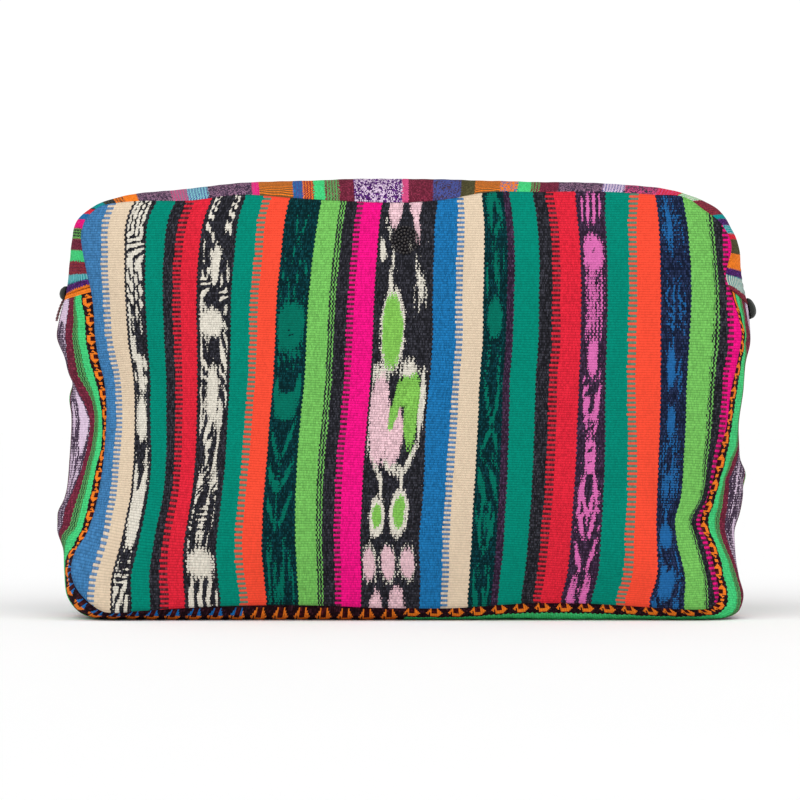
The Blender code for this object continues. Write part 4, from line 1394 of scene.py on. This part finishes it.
def drawn_cloth(from_seam, seam_rows, table, share):
    """Which thread of the gusset's warp shows at each distance from a seam, in millimetres.

    Midway between the seams the stripes keep their places; share lessens what the table draws.
    """
    drawn = np.empty_like(from_seam)
    for number, row in enumerate(seam_rows):
        passed = [np.interp(row, table[:, 0], column) for column in table.T[1:]]
        passed = np.minimum(passed, (18.0, 23.0, 27.0, 31.0)) * share + np.array(GUSSET_EDGES) * (1 - share)
        middle = max(from_seam[number].max(), 40.0)
        dyed_end = min(max(passed[-1] + 10.0, 33.0), middle - 5.0)
        drawn[number] = np.interp(from_seam[number], [0.0, *passed, dyed_end, middle],
                                  [0.0, *GUSSET_EDGES, GUSSET_IKAT[1], MIDDLE_THREAD])
    return drawn


def gusset_threads(cloth, seam_row, on_left, front_half):
    """Which thread of the warp shows at each point of the gusset."""
    from_seam = np.minimum(cloth, cloth[:, -1:] - cloth) * 1000
    smooth = np.convolve(np.pad(seam_row, 6, mode="edge"), np.ones(13) / 13, mode="valid")
    halves = []
    for left, right, share in ((LEFT_DRAW, RIGHT_DRAW, 1.0), (RIGHT_DRAW, LEFT_DRAW, BACK_SHARE)):
        halves.append(np.where(on_left, drawn_cloth(from_seam, smooth, left, share),
                               drawn_cloth(from_seam, smooth, right, share)))
    return np.where(front_half, *halves)


def gusset_dye(points, threads, on_left, front_half):
    """How strongly the gusset's tied band takes its dye."""
    _, row = on_picture(points)
    row = np.where(front_half, row, row + BACK_ROWS)
    start, stop = GUSSET_IKAT
    share = (threads - start) / (stop - start)
    bare = np.full(row.shape, -1.0)
    left, right = [lens_weights(bare, share, row, marks) for marks in (LEFT_DYE, RIGHT_DYE)]
    return np.maximum(np.where(on_left, left, right), 0.5 * base_share(points[..., 2]))


def motif_counts(seam_column, seam_row):
    """The edge stripe's motifs, counted along the front seam."""
    stations = [np.hypot(seam_column - column, seam_row - row).argmin() for _, column, row in MOTIFS]
    return np.interp(np.arange(len(seam_row)), stations, [count for count, _, _ in MOTIFS])


class WETBAG_OT_gusset(Operator):
    """Weave the strip that runs down both sides and under the base"""

    bl_idname = "wetbag.gusset"
    bl_label = "Side gusset"

    def execute(self, context):
        travelled = np.linspace(metres_at(RIGHT_END) + GAP / 2, metres_at(LAP) - GAP / 2, GUSSET_GRID[0])
        even = np.linspace(-1, 1, GUSSET_GRID[1])
        across = np.sin(even * math.pi / 2) * 0.35 + even * 0.65
        points = wall_points(place_at(travelled), across)
        cloth = cloth_distance(points)
        points = cloth_folds(points, travelled, across)
        points = wall_relief(points, travelled, across, 21, (-1, 1))
        seam_column, seam_row = on_picture(points[:, 0])
        on_left = points[:, :1, 0] < 0
        front_half = cloth < cloth[:, -1:] / 2
        threads = gusset_threads(cloth, seam_row, on_left, front_half)
        dye = gusset_dye(points, threads, on_left, front_half)
        bare = np.full_like(dye, -1.0)
        motifs = motif_counts(seam_column, seam_row)[:, None] * np.ones_like(dye) + 4.0
        along = (travelled - travelled[0])[:, None] * np.ones_like(threads)
        material = woven("striped_gusset_cloth", 0.001, (GUSSET_WARP,), GUSSET_ENDS,
                         charted=True, figured=braid)
        made = sheet_mesh("side_gusset_cloth", points, np.stack([threads, along], axis=-1), material,
                          tint=(dye, bare, bare, motifs))
        give_wall(made)
        dress(made, "gusset_cloth", "side_gusset")
        return {"FINISHED"}


def band_piece(name, side, material):
    """The band at one side of the zip. Its stitch line is given back."""
    travelled = np.linspace(metres_at(LEFT_END) + GAP / 2, metres_at(RIGHT_END) - GAP / 2, BAND_GRID[0])
    slot = SLOT_HALF / WALL_HALF
    across = side * (slot + (1 - slot) * np.linspace(0, 1, BAND_GRID[1]))
    if side < 0:
        across = across[::-1]
    points = wall_points(place_at(travelled), across)
    cloth = cloth_distance(points)
    points = wall_relief(points, travelled, across, 31 + side, (side, side * slot))
    seam = wall_points(place_at(travelled), [-1.0])[:, 0]
    steps = np.linalg.norm(np.diff(seam, axis=0), axis=1)
    along = np.concatenate([[0.0], np.cumsum(steps)]) / PIXEL
    along = along[:, None] * BAND_LENGTH / along[-1] * np.ones_like(cloth)
    to_seam = cloth if side < 0 else cloth[:, -1:] - cloth
    tilt = BAND_TILT * (to_seam / PIXEL)
    along = along + tilt * np.exp(-along / BAND_TILT_REACH)
    along = along + 0.6 * tilt * np.exp(-(BAND_LENGTH - along) / BAND_TILT_REACH)
    made = sheet_mesh(f"zip_band_{name}_cloth", points, np.stack([along, to_seam], axis=-1), material)
    give_wall(made)
    dress(made, "band_cloth", f"zip_band_{name}")
    return wall_points(place_at(travelled[2:-2]), [side * (slot + 0.075)], 0.00012)[:, 0]


class WETBAG_OT_zip_bands(Operator):
    """Weave the two bands beside the zip and stitch them down along it"""

    bl_idname = "wetbag.zip_bands"
    bl_label = "Zip bands"

    def execute(self, context):
        material = woven("striped_band_cloth", PIXEL, (BAND_WARP_LEFT, BAND_WARP_RIGHT), BAND_ENDS,
                         figured=seam_crease_shade)
        thread = plain_cloth("stitch_thread", linear((60, 40, 48)), 0.3)
        stitches = [band_piece(name, side, material) for name, side in (("front", -1), ("back", 1))]
        points, edges = paths_as_mesh(stitches)
        length = context.scene.wet_bag.stitch_length
        made = repeated("zip_topstitching", points, edges, (8, 6), True, thread,
                        Spacing=length * 1.35, Length=length, Width=0.00055, Height=0.00045, Unevenness=0.1)
        dress(made, "band_cloth")
        return {"FINISHED"}


class WETBAG_OT_zip(Operator):
    """Lay the zip's coil along its tape and set the slider on it"""

    bl_idname = "wetbag.zip"
    bl_label = "Zip"

    def execute(self, context):
        tape = plain_cloth("zip_tape_cloth", linear((26, 26, 30)), 0.5)
        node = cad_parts["zip_tape"]
        node.data.materials.clear()
        node.data.materials.append(tape)
        nylon = glossy("coil_nylon", linear((30, 30, 34)), 0.42, 0.0)
        low, high = metres_at(LEFT_END) + GAP, metres_at(RIGHT_END) - GAP
        travelled = np.linspace(low + 0.004, high - 0.004, 400)
        lift = -CLOTH - GAP + 0.0008
        half = 0.00095
        rows = [wall_points(place_at(travelled), [side * half / WALL_HALF], lift)[:, 0] for side in (-1, 1)]
        rows[1] = rows[1][2:]
        points, edges = paths_as_mesh(rows)
        coil = repeated("zip_coil", points, edges, (8, 5), True, nylon,
                        Spacing=0.0014, Length=0.0009, Width=0.0026, Height=0.0015, Unevenness=0.03)
        dress(coil, "zip_coil", "zip_teeth")
        self.slider()
        return {"FINISHED"}

    def slider(self):
        """A waisted slider body with a bridge, and its small tab lying along the zip."""
        low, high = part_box("zip_slider")
        lacquer = glossy("slider_lacquer", linear((40, 40, 44)), 0.3, 1.0)
        centre = (low + high) / 2
        places = np.linspace(LEFT_END, RIGHT_END, 2000)
        crest = wall_points(places, [0.0], -CLOTH - GAP + 0.0014)[:, 0]
        nearest = int(np.argmin(np.abs(crest[:, 0] - centre.x) + np.abs(crest[:, 2] - centre.z) * 0.2))
        base = crest[nearest]
        ahead = crest[nearest + 5] - crest[nearest - 5]
        ahead = ahead / np.linalg.norm(ahead)
        side = np.array([0.0, 1.0, 0.0])
        up = np.cross(ahead, side)
        shape = bmesh.new()
        body = [(-0.0055, 0.0026), (-0.003, 0.0036), (0.001, 0.0040), (0.0055, 0.0040)]
        slab(shape, base, ahead, side, up, body, -0.0003, 0.0007)
        bridge = [(-0.0035, 0.0011), (0.0, 0.0013), (0.0035, 0.0011)]
        slab(shape, base, ahead, side, up, bridge, 0.0006, 0.0014)
        finger = [(0.0006, 0.0014), (0.003, 0.0021), (0.013, 0.0024), (0.0165, 0.0015)]
        slab(shape, base, ahead, side, up, finger, 0.0013, 0.0019)
        bmesh.ops.recalc_face_normals(shape, faces=shape.faces)
        made = smooth_form("zip_slider_body", shape, lacquer)
        made.data.set_sharp_from_angle(angle=math.radians(35))
        rounded = made.modifiers.new("edges", "BEVEL")
        rounded.width = 0.0003
        rounded.segments = 2
        dress(made, "slider_metal", "zip_slider")


def slab(shape, base, ahead, side, up, outline, low, high):
    """A flat form, mirrored across its length, between two heights over the base point."""
    ring = outline + [(run, -half) for run, half in reversed(outline)]
    layers = []
    for lift in (low, high):
        layers.append([shape.verts.new(base + ahead * run + side * half + up * lift) for run, half in ring])
    below, above = layers
    for number in range(len(ring)):
        shape.faces.new((below[number - 1], below[number], above[number], above[number - 1]))
    shape.faces.new(below[::-1])
    shape.faces.new(above)


class WETBAG_OT_tabs(Operator):
    """Fold the dark cloth tabs over both ends of the zip"""

    bl_idname = "wetbag.tabs"
    bl_label = "End tabs"

    def execute(self, context):
        dark = plain_cloth("tab_cloth", linear((28, 34, 30)), 0.8, 0.2)
        for name, end, reach, height, shift in (("left", LEFT_END, 0.0032, 0.0054, 0.0007),
                                                ("right", RIGHT_END, 0.0037, 0.0084, 0.0012)):
            low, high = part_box(f"end_tab_{name}")
            half = (high.y - low.y) / 2
            turns = np.linspace(-1, 1, 25)
            across = np.linspace(-1, 1, 41)
            travelled = metres_at(end) + shift + turns * height / 2
            base = wall_points(place_at(travelled), across * half / WALL_HALF)
            normal = grid_normals(base)
            round_back = np.sqrt(np.maximum(0.0, 1.0 - turns ** 2))[:, None]
            ends = np.sqrt(1.0 - np.abs(across) ** 8)[None, :]
            crease = 0.00035 * soft_noise(across[None, :] * 5 + 0 * turns[:, None],
                                          turns[:, None] * 3 + 0 * across[None, :], 41)
            lift = 0.0007 + (reach - 0.0007) * round_back * ends + crease * round_back
            points = base + normal * lift[..., None]
            uv = np.stack(np.meshgrid(turns, across, indexing="ij"), axis=-1)
            made = sheet_mesh(f"end_tab_{name}_cloth", points, uv, dark)
            give_wall(made, 0.0006)
            dress(made, "tab_cloth", f"end_tab_{name}")
        return {"FINISHED"}


class WETBAG_OT_pull(Operator):
    """Twist the thin cord end that hangs from the left tab"""

    bl_idname = "wetbag.pull"
    bl_label = "Cord end"

    def execute(self, context):
        red = plain_cloth("pull_yarn", linear((122, 72, 84)), 0.5, 0.2)
        start = metres_at(LEFT_END) - 0.0006
        travelled = np.linspace(start, start - CORD_LENGTH, 60)
        line = wall_points(place_at(travelled), [CORD_ACROSS / WALL_HALF], 0.0012)[:, 0]
        shape = bmesh.new()
        for ply in (0, 1):
            turn = np.linspace(0, 7 * math.pi, len(line)) + ply * math.pi
            centre = line + np.stack([np.cos(turn), np.sin(turn), 0 * turn], axis=-1) * TWIST_RADIUS
            tube(shape, centre, PLY_RADIUS, 8)
        dress(smooth_form("pull_cord", shape, red), "pull_cord", "zip_pull")
        return {"FINISHED"}


def tube(shape, centre, radius, sides):
    """A closed round tube along points that run mostly up and down."""
    layers = []
    count = len(centre)
    for number, point in enumerate(centre):
        taper = min(1.0, 0.55 + 0.45 * min(number, count - 1 - number) / 4)
        layers.append([
            shape.verts.new(point + np.array([math.cos(turn), math.sin(turn), 0.0]) * radius * taper)
            for turn in [2 * math.pi * side / sides for side in range(sides)]])
    for low, high in zip(layers, layers[1:]):
        for side in range(sides):
            ahead = (side + 1) % sides
            shape.faces.new((low[side], high[side], high[ahead], low[ahead]))
    shape.faces.new(layers[0])
    shape.faces.new(layers[-1][::-1])


class WETBAG_OT_rosette(Operator):
    """Sew the small plain round of black beads onto the front panel"""

    bl_idname = "wetbag.rosette"
    bl_label = "Bead rosette"

    def execute(self, context):
        sizes = context.scene.wet_bag
        jet = glossy("jet_beads", linear((26, 20, 20)), 0.22, 0.0)
        column, row = ROSETTE
        depth = SEAM_Y + PANEL_SWELL * 0.72
        x = (column - PICTURE_MIDDLE) / FOCAL_PIXELS * (CAMERA_DISTANCE - depth) + CAMERA_X
        z = CAMERA_HEIGHT - (row - PICTURE_MIDDLE) / FOCAL_PIXELS * (CAMERA_DISTANCE - depth)
        cloth = bpy.data.objects["front_panel_cloth"]
        points = []
        for ring in range(sizes.bead_rings + 1):
            count = max(1, 6 * ring)
            for number in range(count):
                turn = 2 * math.pi * number / count + 0.3 * ring
                reach = ring * sizes.bead * 1.08
                here = (x + math.cos(turn) * reach, z + math.sin(turn) * reach)
                hit, spot, normal, _ = cloth.ray_cast((here[0], -0.2, here[1]), (0.0, 1.0, 0.0))
                if not hit:
                    raise RuntimeError("the rosette missed the front panel")
                points.append(spot + normal * sizes.bead * 0.38)
        made = repeated("bead_rosette", points, [], (12, 8), False, jet, Spacing=0.0, Length=sizes.bead,
                        Width=sizes.bead * 0.86, Height=sizes.bead, Unevenness=0.12)
        dress(made, "slider_metal")
        return {"FINISHED"}


class WETBAG_OT_stage(Operator):
    """Set the pale floor, the soft lights and the camera"""

    bl_idname = "wetbag.stage"
    bl_label = "Stage"

    def execute(self, context):
        scene = context.scene
        camera = bpy.data.cameras.new("camera")
        camera.sensor_width = SENSOR
        camera.lens = FOCAL_PIXELS * SENSOR / PICTURE
        camera.clip_end = 50.0
        stand = bpy.data.objects.new("camera", camera)
        stand.location = (CAMERA_X, -CAMERA_DISTANCE, CAMERA_HEIGHT)
        stand.rotation_euler = (math.pi / 2, 0.0, 0.0)
        scene.collection.objects.link(stand)
        scene.camera = stand
        self.floor()
        self.lights(scene)
        scene.view_settings.view_transform = "Standard"
        return {"FINISHED"}

    def floor(self):
        """A wide pale floor."""
        bpy.ops.mesh.primitive_circle_add(
            vertices=96, radius=9.0, fill_type="NGON", location=(0.0, 0.0, -0.0002))
        floor = bpy.context.object
        floor.name = "floor"
        tree = Tree("pale_floor")
        mottle = tree.noise(tree.place(), 3.0, 2.0)
        pale, paler = (0.92, 0.92, 0.92), (0.94, 0.94, 0.94)
        tree.surface({"Base Color": tree.mix(mottle, pale, paler), "Roughness": 0.9})
        floor.data.materials.append(tree.material)

    def lights(self, scene):
        """Two very soft lights from the upper front and a bright surround, paler at the horizon."""
        for name, turn, power in (("key", -0.62, SOFT_LIGHT * 1.1), ("fill", 0.62, SOFT_LIGHT * 0.9)):
            lamp = bpy.data.lights.new(name, "SUN")
            lamp.angle = math.radians(50)
            lamp.energy = power
            holder = bpy.data.objects.new(name, lamp)
            holder.rotation_euler = (math.radians(40), 0.0, turn)
            holder.location = (2 * math.sin(turn), -2 * math.cos(turn), 2.4)
            scene.collection.objects.link(holder)
        world = bpy.data.worlds.new("surround")
        world.use_nodes = True
        nodes, links = world.node_tree.nodes, world.node_tree.links
        where = nodes.new("ShaderNodeTexCoord")
        parts = nodes.new("ShaderNodeSeparateXYZ")
        fade = nodes.new("ShaderNodeMapRange")
        fade.interpolation_type = "SMOOTHSTEP"
        for name, value in (("From Min", 0.12), ("From Max", 0.34),
                            ("To Min", WALL_LIGHT), ("To Max", SKY_LIGHT)):
            fade.inputs[name].default_value = value
        links.new(where.outputs["Generated"], parts.inputs[0])
        links.new(parts.outputs[2], fade.inputs["Value"])
        links.new(fade.outputs[0], nodes["Background"].inputs["Strength"])
        nodes["Background"].inputs["Color"].default_value = (1.0, 1.0, 1.0, 1.0)
        scene.world = world


PIECES = (
    WETBAG_OT_front_panel, WETBAG_OT_back_panel, WETBAG_OT_gusset, WETBAG_OT_zip_bands,
    WETBAG_OT_zip, WETBAG_OT_tabs, WETBAG_OT_pull, WETBAG_OT_rosette, WETBAG_OT_stage,
)


class WETBAG_PT_panel(Panel):
    """The bag's pieces, sizes and yarns in the sidebar"""

    bl_label = "Wet Bag"
    bl_idname = "WETBAG_PT_panel"
    bl_space_type = "VIEW_3D"
    bl_region_type = "UI"
    bl_category = "Wet Bag"

    def draw(self, context):
        layout = self.layout
        for name in WetBagSizes.__annotations__:
            layout.prop(context.scene.wet_bag, name)
        for piece in PIECES:
            layout.operator(piece.bl_idname)
        for name in YARNS:
            layout.prop(context.scene.wet_bag_yarns, name)


CLASSES = (WetBagSizes, WetBagYarns, *PIECES, WETBAG_PT_panel)


def register():
    """Make the pieces' operators, the sizes and the panel known to the program."""
    for kind in CLASSES:
        bpy.utils.register_class(kind)
    bpy.types.Scene.wet_bag = PointerProperty(type=WetBagSizes)
    bpy.types.Scene.wet_bag_yarns = PointerProperty(type=WetBagYarns)


def unregister():
    """Take them out again."""
    del bpy.types.Scene.wet_bag
    del bpy.types.Scene.wet_bag_yarns
    for kind in reversed(CLASSES):
        bpy.utils.unregister_class(kind)


def main():
    """Make every piece in order."""
    register()
    for piece in PIECES:
        family, name = piece.bl_idname.split(".")
        getattr(getattr(bpy.ops, family), name)()
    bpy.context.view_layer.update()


if __name__ == "__main__":
    main()
